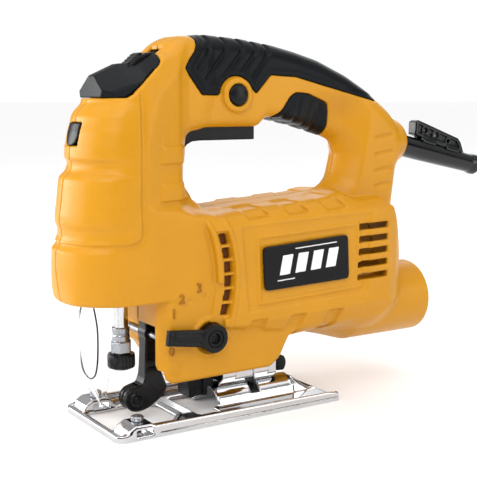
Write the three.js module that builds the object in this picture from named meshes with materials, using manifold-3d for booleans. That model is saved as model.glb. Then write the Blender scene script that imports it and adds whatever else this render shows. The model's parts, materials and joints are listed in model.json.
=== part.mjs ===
// Corded jigsaw with a D-shaped handle, built as an assembly of separate pieces.
// Millimetres, +Z up. While it is built, X = 0 is the plunger's axis, +X runs to the rear,
// Y = 0 is the joint plane of the two housing halves and Z = 0 is the underside of the sole.
import * as THREE from 'three';
import { mergeVertices } from 'three/addons/utils/BufferGeometryUtils.js';
import Module from 'manifold-3d';

const wasm = await Module();
wasm.setup();

// ---------------------------------------------------------------- driving dimensions
const GAP = 0.3;

const HEAD_HALF = 30;
const BARREL_HALF = 33.5;
const BLOCK_HALF = 28.5;
const HANDLE_HALF = 17.5;
const GRIP_THICK = 2;

const MOTOR_Z = 88;
const GEAR_Z = 112.7;
const GEAR_TEETH = 40;
const PINION_TEETH = 9;
const GEAR_FRONT = 16;
const GEAR_REAR = 24;
const CRANK_RADIUS = 9.5;

const ROD_RADIUS = 4.1;
const ROLLER = { x: 7.2, z: 12.8, radius: 7 };
const ARM_PIVOT = { x: 16.5, z: 50 };
const LEVER = { x: 41.7, z: 50, length: 30, rise: 7, hub: 8 };
const LOCK = { x: 66.9, z: 185.6, radius: 6 };

const PORT = { z: 53, radius: 22, bore: 19.5, rear: 214 };
const SLEEVE = { x: 192, z: 156.4, length: 85.5, drop: 12.7, bore: 3.6 };

const SOLE_FRONT = -20.1;
const SOLE_REAR = 130.4;
const SOLE_HALF = 36;
const SHEET = 2.2;
const RAIL_TOP = 7.2;
const RIDGE_RADIUS = 14;

// ---------------------------------------------------------------- materials
const finish = (color, roughness, metalness) =>
  new THREE.MeshStandardMaterial({ color, roughness, metalness });
const YELLOW = finish(0xf0a820, 0.45, 0);
const RUBBER = finish(0x24272b, 0.75, 0);
const BLACK = finish(0x1a1a1c, 0.5, 0);
const CLEAR = finish(0xe8f0f4, 0.08, 0);
const POLISHED = finish(0xd8d8da, 0.2, 1);
const STEEL = finish(0x9a9da2, 0.35, 1);
const CAST = finish(0x8d9094, 0.55, 1);
const COPPER = finish(0xb4653a, 0.4, 1);
const BRASS = finish(0xb8923f, 0.4, 1);
const CARBON = finish(0x2b2b2d, 0.8, 0);
const LAMINATE = finish(0x5c5f66, 0.5, 1);

// ---------------------------------------------------------------- solids and placing
const TO_SIDE = new THREE.Matrix4().makeBasis(
  new THREE.Vector3(1, 0, 0), new THREE.Vector3(0, 0, 1), new THREE.Vector3(0, -1, 0));
const TO_SECTION = new THREE.Matrix4().makeBasis(
  new THREE.Vector3(0, 1, 0), new THREE.Vector3(0, 0, 1), new THREE.Vector3(1, 0, 0));

function solid(geometry) {
  const bare = geometry.clone();
  bare.deleteAttribute('normal');
  bare.deleteAttribute('uv');
  const welded = mergeVertices(bare, 1e-4);
  const index = welded.index.array;
  const kept = [];
  for (let i = 0; i < index.length; i += 3) {
    const [a, b, c] = [index[i], index[i + 1], index[i + 2]];
    if (a !== b && b !== c && c !== a) kept.push(a, b, c);
  }
  return new wasm.Manifold(new wasm.Mesh({
    numProp: 3,
    vertProperties: new Float32Array(welded.attributes.position.array),
    triVerts: new Uint32Array(kept),
  }));
}

const union = (...parts) => parts.reduce((sum, part) => sum.add(part));
const without = (body, ...cuts) => cuts.reduce((rest, cut) => rest.subtract(cut), body);

function block(x0, x1, y0, y1, z0, z1) {
  const geometry = new THREE.BoxGeometry(x1 - x0, y1 - y0, z1 - z0);
  geometry.translate((x0 + x1) / 2, (y0 + y1) / 2, (z0 + z1) / 2);
  return solid(geometry);
}

// A round bar along one axis. The centre holds the other two coordinates in X, Y, Z order.
function rod(axis, radius, from, to, centre, sides = 24) {
  const geometry = new THREE.CylinderGeometry(radius, radius, to - from, sides);
  const middle = (from + to) / 2;
  if (axis === 'x') {
    geometry.rotateZ(-Math.PI / 2);
    geometry.translate(middle, centre[0], centre[1]);
  } else if (axis === 'y') {
    geometry.translate(centre[0], middle, centre[1]);
  } else {
    geometry.rotateX(Math.PI / 2);
    geometry.translate(centre[0], centre[1], middle);
  }
  return solid(geometry);
}

const tube = (axis, outer, inner, from, to, centre, sides = 24) =>
  rod(axis, outer, from, to, centre, sides)
    .subtract(rod(axis, inner, from - 1, to + 1, centre, sides));

const shapeOf = (points) => new THREE.Shape(points.map(([a, b]) => new THREE.Vector2(a, b)));

function bevelled(points, depth, bevel, steps) {
  const geometry = new THREE.ExtrudeGeometry(shapeOf(points), {
    depth: depth - 2 * bevel,
    bevelEnabled: bevel > 0,
    bevelThickness: bevel,
    bevelSize: bevel,
    bevelOffset: -bevel,
    bevelSegments: steps,
    curveSegments: 1,
  });
  return geometry.translate(0, 0, bevel);
}

// A side outline of X and Z points, given a width across Y that is centred on the joint plane.
function slab(points, half, bevel = 0, steps = 2) {
  const geometry = bevelled(points, 2 * half, bevel, steps).applyMatrix4(TO_SIDE);
  return solid(geometry.translate(0, half, 0));
}

const plate = (points, y0, y1) =>
  solid(bevelled(points, y1 - y0, 0, 1).applyMatrix4(TO_SIDE).translate(0, y1, 0));
const plan = (points, z0, z1) => solid(bevelled(points, z1 - z0, 0, 1).translate(0, 0, z0));
const section = (points, x0, x1) =>
  solid(bevelled(points, x1 - x0, 0, 1).applyMatrix4(TO_SECTION).translate(x0, 0, 0));

// A turned piece along X: pairs of radius and X that close on themselves.
function turned(points, z, sides = 32) {
  const ring = [...points, points[0]].map(([radius, x]) => new THREE.Vector2(radius, x));
  const geometry = new THREE.LatheGeometry(ring, sides);
  return solid(geometry.rotateZ(-Math.PI / 2).translate(0, 0, z));
}

function arc(centre, radius, fromDeg, toDeg, steps) {
  return Array.from({ length: steps + 1 }, (_, i) => {
    const angle = THREE.MathUtils.degToRad(fromDeg + ((toDeg - fromDeg) * i) / steps);
    return [centre[0] + radius * Math.cos(angle), centre[1] + radius * Math.sin(angle)];
  });
}

// Moves every edge of an anticlockwise outline inwards by a distance.
function inset(points, distance) {
  const count = points.length;
  return points.map((point, i) => {
    const before = points[(i + count - 1) % count];
    const after = points[(i + 1) % count];
    const first = new THREE.Vector2(point[0] - before[0], point[1] - before[1]).normalize();
    const second = new THREE.Vector2(after[0] - point[0], after[1] - point[1]).normalize();
    const reach = distance / (1 + first.dot(second));
    return [
      point[0] - (first.y + second.y) * reach,
      point[1] + (first.x + second.x) * reach,
    ];
  });
}

const tool = new THREE.Group();

function add(name, body, material, parent = tool) {
  const mesh = body.getMesh();
  const geometry = new THREE.BufferGeometry();
  geometry.setAttribute('position', new THREE.BufferAttribute(mesh.vertProperties, 3));
  geometry.setIndex(new THREE.BufferAttribute(mesh.triVerts, 1));
  const piece = new THREE.Mesh(geometry, material);
  piece.name = name;
  parent.add(piece);
}

// ---------------------------------------------------------------- outer body shape
const HEAD_OUTLINE = [
  [-32, 73], [44, 73], [44, 118], [38, 124], [33, 135], [33, 150], [44, 166], [50, 190],
  [46, 206], [34, 214.5], [27, 212], [22, 207], [6, 203.5], [-3.5, 202], [-13.5, 196],
  [-18, 184], [-23, 170], [-26.5, 153], [-27.5, 143], [-31, 126], [-34, 112], [-36.5, 95],
  [-36, 80],
];
const BARREL_OUTLINE = [
  [42, 72], [47.5, 64], [47.5, 57], [70, 50], [94, 46], [100, 42], [143, 39], [165, 44], [185, 62], [189, 78],
  [189, 98], [187, 118], [180, 135], [134, 132], [114, 129.5], [74, 127], [42, 122],
];
const BLOCK_OUTLINE = [
  [8, 75], [8, 33], [11, 28], [14, 27], [85, 27], [88, 31], [95, 45], [95, 75],
];
const HANDLE_OUTLINE = [
  [44, 118], [100, 118], [150, 110], [186, 110], [187, 128], [193, 140], [200, 146],
  [205, 153], [206, 160], [203, 168], [190, 176.5], [172, 188], [152, 199.6],
  [129.4, 208.6], [112.8, 212.7], [96, 216.1], [74, 218.7], [50, 219], [40, 217.5],
  [34, 213.4], [36, 150],
];
const OPENING = [
  [37.3, 127.9], [43.8, 124.2], [74, 127.2], [114, 129.6], [130, 132.5], [137.5, 140],
  [139, 150], [138.5, 158], [136, 160.5], [118, 166], [100, 170.8], [90, 171.7], [84, 167],
  [40, 167], [35.5, 163], [33, 154], [32.4, 144], [32.8, 135.5],
];

const handleShape = slab(HANDLE_OUTLINE, HANDLE_HALF, 5, 2);

// A rounded rectangle of Y and Z points, centred on the joint plane.
function roundedSection(half, low, high, radius, steps = 4) {
  return [
    ...arc([half - radius, low + radius], radius, -90, 0, steps),
    ...arc([half - radius, high - radius], radius, 0, 90, steps),
    ...arc([radius - half, high - radius], radius, 90, 180, steps),
    ...arc([radius - half, low + radius], radius, 180, 270, steps),
  ];
}

function headPlan(front, half, nose) {
  return [
    [60, -half], [60, half], ...arc([front + nose, half - nose], nose, 90, 180, 6),
    ...arc([front + nose, nose - half], nose, 180, 270, 6),
  ];
}

const headSection = (shrink) => section([
  [HEAD_HALF - shrink, 60], [HEAD_HALF - shrink, 150], [26 - shrink, 186], [19 - shrink, 214],
  [14 - shrink, 218], [shrink - 14, 218], [shrink - 19, 214], [shrink - 26, 186],
  [shrink - HEAD_HALF, 150], [shrink - HEAD_HALF, 60],
], -60, 60);

// Above the gear the column narrows towards the hand opening.
const columnPlan = (shrink) => [
  [-60, -60], [0, shrink - 30], [13, shrink - 27], [26, shrink - 24], [34, shrink - 17],
  [60, shrink - 17], [60, 17 - shrink], [34, 17 - shrink], [26, 24 - shrink],
  [13, 27 - shrink], [0, 30 - shrink], [-60, 60],
];
const narrowed = (body, shrink) => body.intersect(union(
  plan(columnPlan(shrink), 122 - shrink, 240), block(-60, 60, -60, 60, 50, 122)));

// The top of the nose leans back, so its plan slides rearwards with height.
const NOSE_LEAN = 0.27;
const LEAN_FROM = 150;
function leaningNose(shrink) {
  const front = shrink - 28;
  const outline = [
    [60, shrink - 30], [60, 30 - shrink], [-5, 28 - shrink], [-17, 22.5 - shrink],
    [front, 12.6 - shrink / 2], [front, shrink / 2 - 12.6], [-17, shrink - 22.5],
    [-5, shrink - 28],
  ];
  const geometry = bevelled(outline, 80, 0, 1).translate(0, 0, LEAN_FROM - shrink);
  const place = geometry.attributes.position;
  for (let i = 0; i < place.count; i += 1) {
    place.setX(i, place.getX(i) + NOSE_LEAN * (place.getZ(i) - LEAN_FROM));
  }
  return union(solid(geometry), block(-60, 60, -60, 60, 50, LEAN_FROM));
}

const headShape = narrowed(slab(HEAD_OUTLINE, HEAD_HALF)
  .intersect(plan(headPlan(-36.5, HEAD_HALF, 25), 60, 220))
  .intersect(headSection(0)).intersect(leaningNose(0)), 0);
const barrelShape = slab(BARREL_OUTLINE, BARREL_HALF)
  .intersect(section(roundedSection(BARREL_HALF, 38, 137, 15), 30, 200))
  .intersect(plan([
    [30, -BARREL_HALF], [176, -BARREL_HALF], [185, -28], [189, -18], [189, 18], [185, 28],
    [176, BARREL_HALF], [30, BARREL_HALF],
  ], 30, 140));
const opening = slab(OPENING, 40);
const portShape = union(
  rod('x', PORT.radius, 160, PORT.rear, [0, PORT.z], 32),
  slab([[138, 42], [160, 31.2], [180, 31.2], [180, 74], [150, 74]], 40)
    .intersect(rod('x', PORT.radius, 130, 200, [0, PORT.z], 32)));
const bodyShape = union(
  headShape,
  barrelShape,
  slab(BLOCK_OUTLINE, BLOCK_HALF, 1, 1),
  handleShape,
  portShape,
  rod('y', LOCK.radius + 3.4, -20, -14, [LOCK.x, LOCK.z], 24)).subtract(opening);

// ---------------------------------------------------------------- hollows of the housing
const headHollow = narrowed(slab([
  [-28, 76.5], [45, 76.5], [45, 118], [36, 121], [29.5, 134], [29.5, 150], [40, 176],
  [28, 180.5], [-15.5, 180.5], [-19.5, 170], [-23, 153], [-24, 143], [-27.5, 126],
  [-30.5, 112], [-33, 95], [-32, 84],
], 26).intersect(plan(headPlan(-33, 26, 21), 60, 200)).intersect(headSection(3.6))
  .intersect(leaningNose(3.2)), 3.2);
const handleHollow = slab([
  [150, 108], [186, 108], [187, 128], [192, 142], [200, 152], [201, 160], [196, 168],
  [180, 180], [160, 192], [130, 204], [100, 211], [80, 213.5], [50, 213.5], [38, 206],
  [38, 176], [46, 172.8], [84, 172.8], [90, 177.5], [100, 176.5], [118, 172], [138, 166],
  [144.5, 158], [144.5, 142], [150, 130],
], 13);
const motorHollow = rod('x', 30.3, 44, 184, [0, MOTOR_Z], 32)
  .intersect(plan([[40, -31], [168, -31], [190, -18], [190, 18], [168, 31], [40, 31]], 40, 140));
const statorSeats = union(
  tube('x', 31, 27.3, 78, 82, [0, MOTOR_Z]),
  tube('x', 31, 27.3, 104, 108, [0, MOTOR_Z]));
const rearBearingSeat = union(
  block(142, 146.5, -31, 31, MOTOR_Z - 7, MOTOR_Z + 7),
  rod('x', 13, 142, 146.5, [0, MOTOR_Z]));
const dustWay = union(
  rod('x', PORT.bore, 158, 216, [0, PORT.z], 32),
  block(20, 160, -9, 9, 43.5, 53));
const sideChambers = union(
  block(30, 86, 12, 25.5, 37, 66),
  block(30, 86, -25.5, -12, 37, 66));
const armBay = block(6, 26, -20, 20, 26, 73);
const tiltChannels = union(
  block(6, 90, 14, 25.9, 20, 33),
  block(6, 90, -25.9, -14, 20, 33));
const triggerBay = union(
  block(30.2, 82.2, -9, 9, 150, 183),
  block(31, 84, -12.2, 12.2, 172.8, 183));

const SCREW_POSTS = [
  { x: 25, z: 168, seat: 17, tip: -8 },
  { x: 176, z: 172, seat: 10, tip: -9 },
];
const post = ({ x, z }) => rod('y', 5, -24, 24, [x, z], 16);
const postBore = ({ x, z, seat, tip }) => union(
  rod('y', 1.9, tip - 0.5, seat, [x, z], 12),
  rod('y', 3.6, seat, 40, [x, z], 16));

const ventSlots = (side) => {
  const rear = Array.from({ length: 5 }, (_, i) => {
    const z = 106.1 - 7.8 * i;
    return side < 0 ? block(146, 169, -36, -26, z - 1.8, z + 1.8)
      : block(146, 169, 26, 36, z - 1.8, z + 1.8);
  });
  const front = Array.from({ length: 5 }, (_, i) => {
    const z = 107 - 9 * i;
    const x = 50.5 - 0.011 * (z - 89) ** 2;
    return side < 0 ? block(x - 2.4, x + 2.4, -36, -20, z - 3.4, z + 3.4)
      : block(x - 2.4, x + 2.4, 20, 36, z - 3.4, z + 3.4);
  });
  return union(...rear, ...front);
};

// ---------------------------------------------------------------- regions of the outer skin
const LOCK_RING = arc([LOCK.x, LOCK.z], 10.8, 170, 12, 6);
const GRIP_REGION = [
  [176, 187], [176, 230], [38, 230], [41, 215], [40, 210], [33.5, 199.7], [43, 185.5],
  [55.4, 185], ...LOCK_RING, [81.2, 186.2], [91, 197.1], [109, 196.2], [133, 190.5],
  [160, 184.5],
];
const FINGER_REGION = [
  [88, 160], [137.4, 150], [137.6, 160], [139.4, 166.3], [137.7, 175.4], [134.5, 182.1],
  [117.8, 186.5], [109, 187.4], [104.6, 185.6], [98.2, 175.7], [91.1, 171.7],
];
const CAP_REGION = [
  [-40, 184], [-4, 184], [5, 189.5], [12, 197], [20, 204], [28, 215], [28, 240], [-40, 240],
];
const BADGE = { x: 106.3, z: 87.3, width: 61.5, height: 25.6, tilt: 2.3 };

// The handle under its soft skin, carried on forwards through the head.
const CORE_OUTLINE = [...HANDLE_OUTLINE.slice(0, -2), [10, 205], [10, 118]];
const handleCore = (cut) => without(
  slab(inset(CORE_OUTLINE, cut), HANDLE_HALF - cut, 5 - cut, 2),
  slab(inset(OPENING, -cut), 40));
const biggest = (body) => body.decompose().sort((a, b) => b.volume() - a.volume())[0];
const softSkin = (region, side) => biggest(
  slab(region, 40).intersect(bodyShape).intersect(sideOf(side)).subtract(handleCore(GRIP_THICK)));
const skinRoom = (region) =>
  slab(inset(region, -GAP), 40).subtract(handleCore(GRIP_THICK + GAP));
const leftHalf = block(-60, 300, -60, -0.15, -10, 260);
const rightHalf = block(-60, 300, 0.15, 60, -10, 260);
const sideOf = (side) => (side < 0 ? leftHalf : rightHalf);

function badgePlate(side, extra, from, to) {
  const geometry = new THREE.BoxGeometry(
    BADGE.width + 2 * extra, to - from, BADGE.height + 2 * extra);
  geometry.rotateY(THREE.MathUtils.degToRad(-BADGE.tilt));
  geometry.translate(BADGE.x, (side * (from + to)) / 2, BADGE.z);
  return solid(geometry);
}

// ---------------------------------------------------------------- sleeve around the cord inlet
const sleeveFrame = new THREE.Matrix4().makeRotationY(THREE.MathUtils.degToRad(SLEEVE.drop))
  .setPosition(SLEEVE.x, 0, SLEEVE.z);

function alongSleeve(points, sides = 20) {
  const ring = [...points, points[0]].map(([radius, x]) => new THREE.Vector2(radius, x));
  const geometry = new THREE.LatheGeometry(ring, sides).rotateZ(-Math.PI / 2);
  return solid(geometry.applyMatrix4(sleeveFrame));
}

const sleeveOutside = (extra) => alongSleeve([
  [0.01, -6], [6.8 + extra, -6], [6.8 + extra, 30], [5.3 + extra, 82], [6.1 + extra, 83],
  [6.1 + extra, 88], [0.01, 88],
]);
const sleeve = alongSleeve([
  [SLEEVE.bore, 0], [8.6, 0], [8.6, 3], [6.8, 3], [6.8, 30], [5.3, 80.5], [6.1, 81.5],
  [6.1, SLEEVE.length], [SLEEVE.bore, SLEEVE.length],
]);
const sleeveRoom = union(
  alongSleeve([[0.01, 2], [7.2, 2], [7.2, 24], [0.01, 24]]),
  alongSleeve([[0.01, -3], [9.2, -3], [9.2, 3.6], [0.01, 3.6]]));

// ---------------------------------------------------------------- cap, lamp and its switch
const capBlank = slab(CAP_REGION, 40).intersect(headShape);
const capRoom = slab([
  [-44, 183.7], [-3.9, 183.7], [5.2, 189.2], [12.3, 196.7], [20.3, 203.7], [28.4, 215],
  [28.4, 244], [-44, 244],
], 42);
const SWITCH_OUTLINE = [[7, 196], [25, 196], [25, 207.5], [21, 210], [14.6, 210.2], [7, 205.5]];
const switchShape = slab(SWITCH_OUTLINE, 6.5);
const switchRoom = slab([[6.6, 194], [25.4, 194], [25.4, 220], [6.6, 220]], 6.9);
const frontCap = without(capBlank,
  block(-10, 3, -13, 13, 180, 195.5),
  switchRoom);
const windowBlank = block(-30, -19, -6.2, 6.2, 160.3, 170.6);
const windowShape = windowBlank.intersect(headShape).subtract(block(-19.9, 0, -7, 7, 150, 180));
const windowRoom = block(-32, -15, -6.5, 6.5, 160, 170.9);

// ---------------------------------------------------------------- housing halves
function housing(side) {
  const sign = side < 0 ? -1 : 1;
  const bores = [
    rod('y', 4.3, -29.5, -24, [LEVER.x, LEVER.z], 20),
    rod('y', LOCK.radius + 0.35, -24, -11, [LOCK.x, LOCK.z], 24),
    rod('y', 2.25, -22.3, 22.3, [ARM_PIVOT.x, ARM_PIVOT.z], 12),
    rod('z', 9.3, 70, 80, [0, 0], 24),
    rod('z', 1.2, 70, 75.4, [-20, 7], 10),
    rod('z', 1.2, 70, 75.4, [-20, -7], 10),
    rod('x', 9.3, 140, 148, [0, MOTOR_Z], 24),
  ];
  const hollows = union(headHollow, handleHollow, motorHollow)
    .subtract(union(statorSeats, rearBearingSeat, ...SCREW_POSTS.map(post)));
  const shell = without(bodyShape.intersect(sideOf(side)),
    hollows, dustWay, sideChambers, armBay, tiltChannels, triggerBay,
    ventSlots(side), capRoom.intersect(block(-60, 60, -60, 60, 183, 250)), windowRoom, switchRoom,
    badgePlate(sign, 0.4, 32.7, 36), sleeveRoom, ...bores, ...SCREW_POSTS.map(postBore),
    skinRoom(GRIP_REGION), skinRoom(FINGER_REGION));
  return biggest(shell);
}

function addHousing() {
  add('left_housing', housing(-1), YELLOW);
  add('right_housing', housing(1), YELLOW);
  for (const [name, side] of [['left', -1], ['right', 1]]) {
    add(`${name}_handle_grip`, softSkin(GRIP_REGION, side), RUBBER);
    add(`${name}_finger_grip`, softSkin(FINGER_REGION, side), RUBBER);
    add(`${name}_badge`, badgePlate(side, 0, 33, 33.8), BLACK);
  }
  SCREW_POSTS.forEach(({ x, z, seat, tip }, i) => {
    add(`housing_screw_${i + 1}`, union(
      rod('y', 1.6, tip, seat + 1, [x, z], 12),
      rod('y', 3.2, seat + GAP, seat + 2.3, [x, z], 16)), STEEL);
  });
}

function addLamp() {
  add('front_cap', frontCap, RUBBER);
  add('light_switch', switchShape, BLACK);
  add('front_window', windowShape, BLACK);
  add('light_module', block(-19.4, -9, -6, 6, 161, 170), BLACK);
}

// ---------------------------------------------------------------- trigger and switch
function addSwitchGear() {
  const profile = [
    [31, 153], [33.2, 152.6], [35.2, 157], [38.8, 159.2], [81.5, 159.2], [81.5, 176],
    [33.5, 176], [31.2, 165],
  ];
  add('trigger', union(
    slab(profile, 8.5, 0.8, 1),
    block(34, 54, -11.6, 11.6, 174, 176)), BLACK);
  const [x, bodyFloor] = [70, 182.3];
  add('trigger_plunger', rod('z', 3, 176.3, 187, [x, 0], 16), BLACK);
  add('trigger_spring', tube('z', 4.6, 3.6, 176.4, 182, [x, 0], 16), STEEL);
  add('switch_body', without(
    block(52, 84, -7.5, 11, bodyFloor, 206),
    rod('z', 3.4, bodyFloor - 1, 193, [x, 0], 16)), BLACK);
  add('lock_button', union(
    rod('y', LOCK.radius, -21, -12.2, [LOCK.x, LOCK.z], 24),
    rod('y', LOCK.radius + 1.4, -12.6, -11.6, [LOCK.x, LOCK.z], 24)), BLACK);
}

// ---------------------------------------------------------------- pendulum lever
function addLever() {
  const rise = THREE.MathUtils.degToRad(LEVER.rise);
  const along = [-Math.cos(rise), Math.sin(rise)];
  const across = [-along[1], along[0]];
  const corner = (reach, offset) => [
    LEVER.x + along[0] * reach + across[0] * offset,
    LEVER.z + along[1] * reach + across[1] * offset,
  ];
  const arm = plate([
    corner(0, 5), corner(LEVER.length - 1, 4.2), corner(LEVER.length, 3.2),
    corner(LEVER.length, -3.2), corner(LEVER.length - 1, -4.2), corner(0, -5),
  ], -35.2, -30.4);
  const centre = [LEVER.x, LEVER.z];
  add('pendulum_lever', without(
    union(rod('y', LEVER.hub, -35.6, -28.8, centre, 28), arm),
    rod('y', 1.8, -40, -20, centre, 12),
    rod('y', 3.3, -40, -33, centre, 16)), BLACK);
  add('lever_screw', union(
    rod('y', 3, -35.3, -33.3, centre, 16),
    rod('y', 1.5, -33.4, -20, centre, 12)), STEEL);
  add('lever_cam', union(
    rod('y', 4, -28.5, -13, centre, 20),
    rod('y', 5.5, -19, -13, [LEVER.x - 1.5, LEVER.z], 20))
    .subtract(rod('y', 1.8, -30, -18, centre, 12)), BRASS);
}

// ---------------------------------------------------------------- cord inlet
function addInlet() {
  add('strain_relief', sleeve, RUBBER);
  const drop = Math.tan(THREE.MathUtils.degToRad(SLEEVE.drop));
  const axisAt = (x) => SLEEVE.z - (x - SLEEVE.x) * drop;
  const fin = slab([
    [217, axisAt(217) + 7.6], [262, axisAt(262) + 6.5], [257, 155.2], [217, 169.4],
  ], 4, 0.8, 1);
  const clip = (from) => alongSleeve([
    [7.2, from], [9, from], [9, from + 12], [7.2, from + 12],
  ]);
  const web = (x) => block(x, x + 8, -3, 3, axisAt(x) + 4, axisAt(x) + 11);
  const hole = (x, z, radius) => rod('y', radius, -10, 10, [x, z], 16);
  add('hex_key_holder', without(
    union(fin, clip(30), clip(52), web(225), web(247)),
    sleeveOutside(0.4), hole(222, 163.2, 2.2), hole(229, 161, 1.6),
    block(236, 244, -10, 10, 155.8, 158.6)), BLACK);
  add('cord_clamp', block(174, 183, -9, 9, 156, 160), BLACK);
}

// ---------------------------------------------------------------- motor
const onMotor = (points, sides) => turned(points, MOTOR_Z, sides);

function gearOutline(teeth, module, phaseDeg) {
  const pitch = (teeth * module) / 2;
  const points = [];
  for (let i = 0; i < teeth; i += 1) {
    const middle = phaseDeg + (360 * i) / teeth;
    const half = 360 / teeth;
    const corners = [
      [pitch - 1.15 * module, -0.36], [pitch + 0.85 * module, -0.12],
      [pitch + 0.85 * module, 0.12], [pitch - 1.15 * module, 0.36],
    ];
    for (const [radius, share] of corners) {
      const angle = THREE.MathUtils.degToRad(middle + share * half);
      points.push([radius * Math.cos(angle), radius * Math.sin(angle)]);
    }
  }
  return points;
}

const shifted = (points, z) => points.map(([a, b]) => [a, b + z]);

function fieldCoil(sign) {
  const rad = THREE.MathUtils.degToRad;
  const from = sign > 0 ? 42 : 222;
  const turn = (x0, x1) => section(shifted([
    ...arc([0, 0], 22.7, from, from + 96, 8), ...arc([0, 0], 17.3, from + 96, from, 8),
  ], MOTOR_Z), x0, x1);
  const bar = (deg) => {
    const geometry = new THREE.BoxGeometry(52, 5, 5).rotateX(rad(deg));
    geometry.translate(92, 20 * Math.cos(rad(deg)), MOTOR_Z + 20 * Math.sin(rad(deg)));
    return solid(geometry);
  };
  return union(turn(66, 71.5), turn(112.5, 118), bar(from + 6), bar(from + 90));
}

function coilSlot(deg) {
  const angle = THREE.MathUtils.degToRad(deg);
  const geometry = new THREE.BoxGeometry(60, 6.4, 6.4).rotateX(angle);
  return solid(geometry.translate(92, 20 * Math.cos(angle), MOTOR_Z + 20 * Math.sin(angle)));
}

function addMotor() {
  add('stator', without(
    tube('x', 27, 15.6, 73, 111, [0, MOTOR_Z], 32),
    coilSlot(48), coilSlot(132), coilSlot(228), coilSlot(312)), LAMINATE);
  add('upper_field_coil', fieldCoil(1), COPPER);
  add('lower_field_coil', fieldCoil(-1), COPPER);
  add('armature_core', onMotor([
    [4, 66.5], [11, 66.5], [12.5, 68], [12.5, 74], [14.6, 74], [14.6, 110], [12.5, 110],
    [12.5, 116], [11, 118], [4, 118],
  ]), LAMINATE);
  add('armature_shaft', union(
    rod('x', 3.7, 24, 149, [0, MOTOR_Z], 20),
    section(shifted(gearOutline(PINION_TEETH, 1, 90 + 180 / PINION_TEETH), MOTOR_Z),
      GEAR_FRONT - 1, GEAR_REAR + 1)), STEEL);
  add('commutator', onMotor([
    [4, 122], [11.5, 122], [11.5, 124], [10, 124], [10, 136], [4, 136],
  ], 24), COPPER);
  const blades = Array.from({ length: 9 }, (_, i) => {
    const geometry = new THREE.BoxGeometry(8, 1.6, 17).translate(56.5, 0, 17.5);
    geometry.rotateX((2 * Math.PI * i) / 9);
    return solid(geometry.translate(0, 0, MOTOR_Z));
  });
  add('cooling_fan', union(
    onMotor([[4, 52], [9.5, 52], [9.5, 59], [27, 59], [27, 61], [4, 61]]), ...blades), BLACK);
  add('front_bearing', tube('x', 11, 4, 35.4, 41.4, [0, MOTOR_Z]), STEEL);
  add('rear_bearing', tube('x', 9, 4, 141.8, 146.8, [0, MOTOR_Z]), STEEL);
  for (const [name, sign] of [['left', -1], ['right', 1]]) {
    const between = (a, b) => [Math.min(sign * a, sign * b), Math.max(sign * a, sign * b)];
    add(`${name}_brush_holder`, without(
      block(123.2, 134.8, ...between(13, 29), MOTOR_Z - 5.4, MOTOR_Z + 5.4),
      block(124.7, 133.3, ...between(10, 32), MOTOR_Z - 3.5, MOTOR_Z + 3.5)), BRASS);
    add(`${name}_brush`,
      block(125, 133, ...between(10.4, 22), MOTOR_Z - 3.2, MOTOR_Z + 3.2), CARBON);
  }
}

// ---------------------------------------------------------------- gear case and drive
function addDrive() {
  const cheek = [[-9, 80], [36, 80], [36, 117], [8, 119], [3, 126], [3, 149], [-9, 149]];
  const bearingPlate = rod('x', 25.2, 31, 41, [0, MOTOR_Z], 32)
    .intersect(block(0, 60, -40, 40, 78, 140));
  add('gear_case', without(
    union(bearingPlate, plate(cheek, 21.4, 22.8), plate(cheek, -22.8, -21.4),
      block(-9, 9.6, -20, 20, 141, 149), block(-9, 3, -21.6, 21.6, 141, 149),
      block(-9, 9.6, -21.6, 21.6, 80.5, 86),
      block(28, 34, -8, 8, 104, 119)),
    rod('x', 11.3, 35, 45, [0, MOTOR_Z]), rod('x', 5.2, 20, 45, [0, MOTOR_Z]),
    rod('x', 3.3, 20, 45, [0, GEAR_Z], 16),
    rod('z', 9.3, 130, 155, [0, 0]), rod('z', 9.3, 76, 90, [0, 0])), CAST);
  add('gear_pin', rod('x', 3, 15.5, 34, [0, GEAR_Z], 16), STEEL);
  add('drive_gear', without(union(
    section(shifted(gearOutline(GEAR_TEETH, 1, -90), GEAR_Z), GEAR_FRONT, GEAR_REAR),
    rod('x', 3, 11.6, GEAR_FRONT + 1, [CRANK_RADIUS, GEAR_Z], 16)),
    rod('x', 3.4, GEAR_FRONT - 5, GEAR_REAR + 5, [0, GEAR_Z], 16)), STEEL);
  add('plunger_rod', union(
    rod('z', ROD_RADIUS, 41.5, 166, [0, 0], 20),
    block(3, 11, -17, 17, GEAR_Z - 7, GEAR_Z + 7)
      .subtract(block(2, 12, -13.2, 13.2, GEAR_Z - 3.4, GEAR_Z + 3.4))
      .add(block(-4, 3.6, -6, 6, GEAR_Z - 7, GEAR_Z + 7))), STEEL);
  add('upper_guide_bush', tube('z', 9, 4.4, 140.5, 150, [0, 0]), BRASS);
  add('lower_guide_bush', tube('z', 9, 4.4, 74.5, 85.5, [0, 0]), BRASS);
}

// ---------------------------------------------------------------- blade clamp and guide roller
function addClamp() {
  add('blade_clamp_body', without(
    union(rod('z', 6.4, 40.6, 47.4, [0, 0], 6), rod('z', 5.2, 31, 55.5, [0, 0], 24)),
    rod('z', ROD_RADIUS + 0.3, 41.2, 60, [0, 0], 20),
    block(-5.4, 4, -0.8, 0.8, 30, 40)), STEEL);
  add('blade_clamp_collar', tube('z', 7.8, 5.5, 32, 40.3, [0, 0], 24), BLACK);
}

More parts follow.
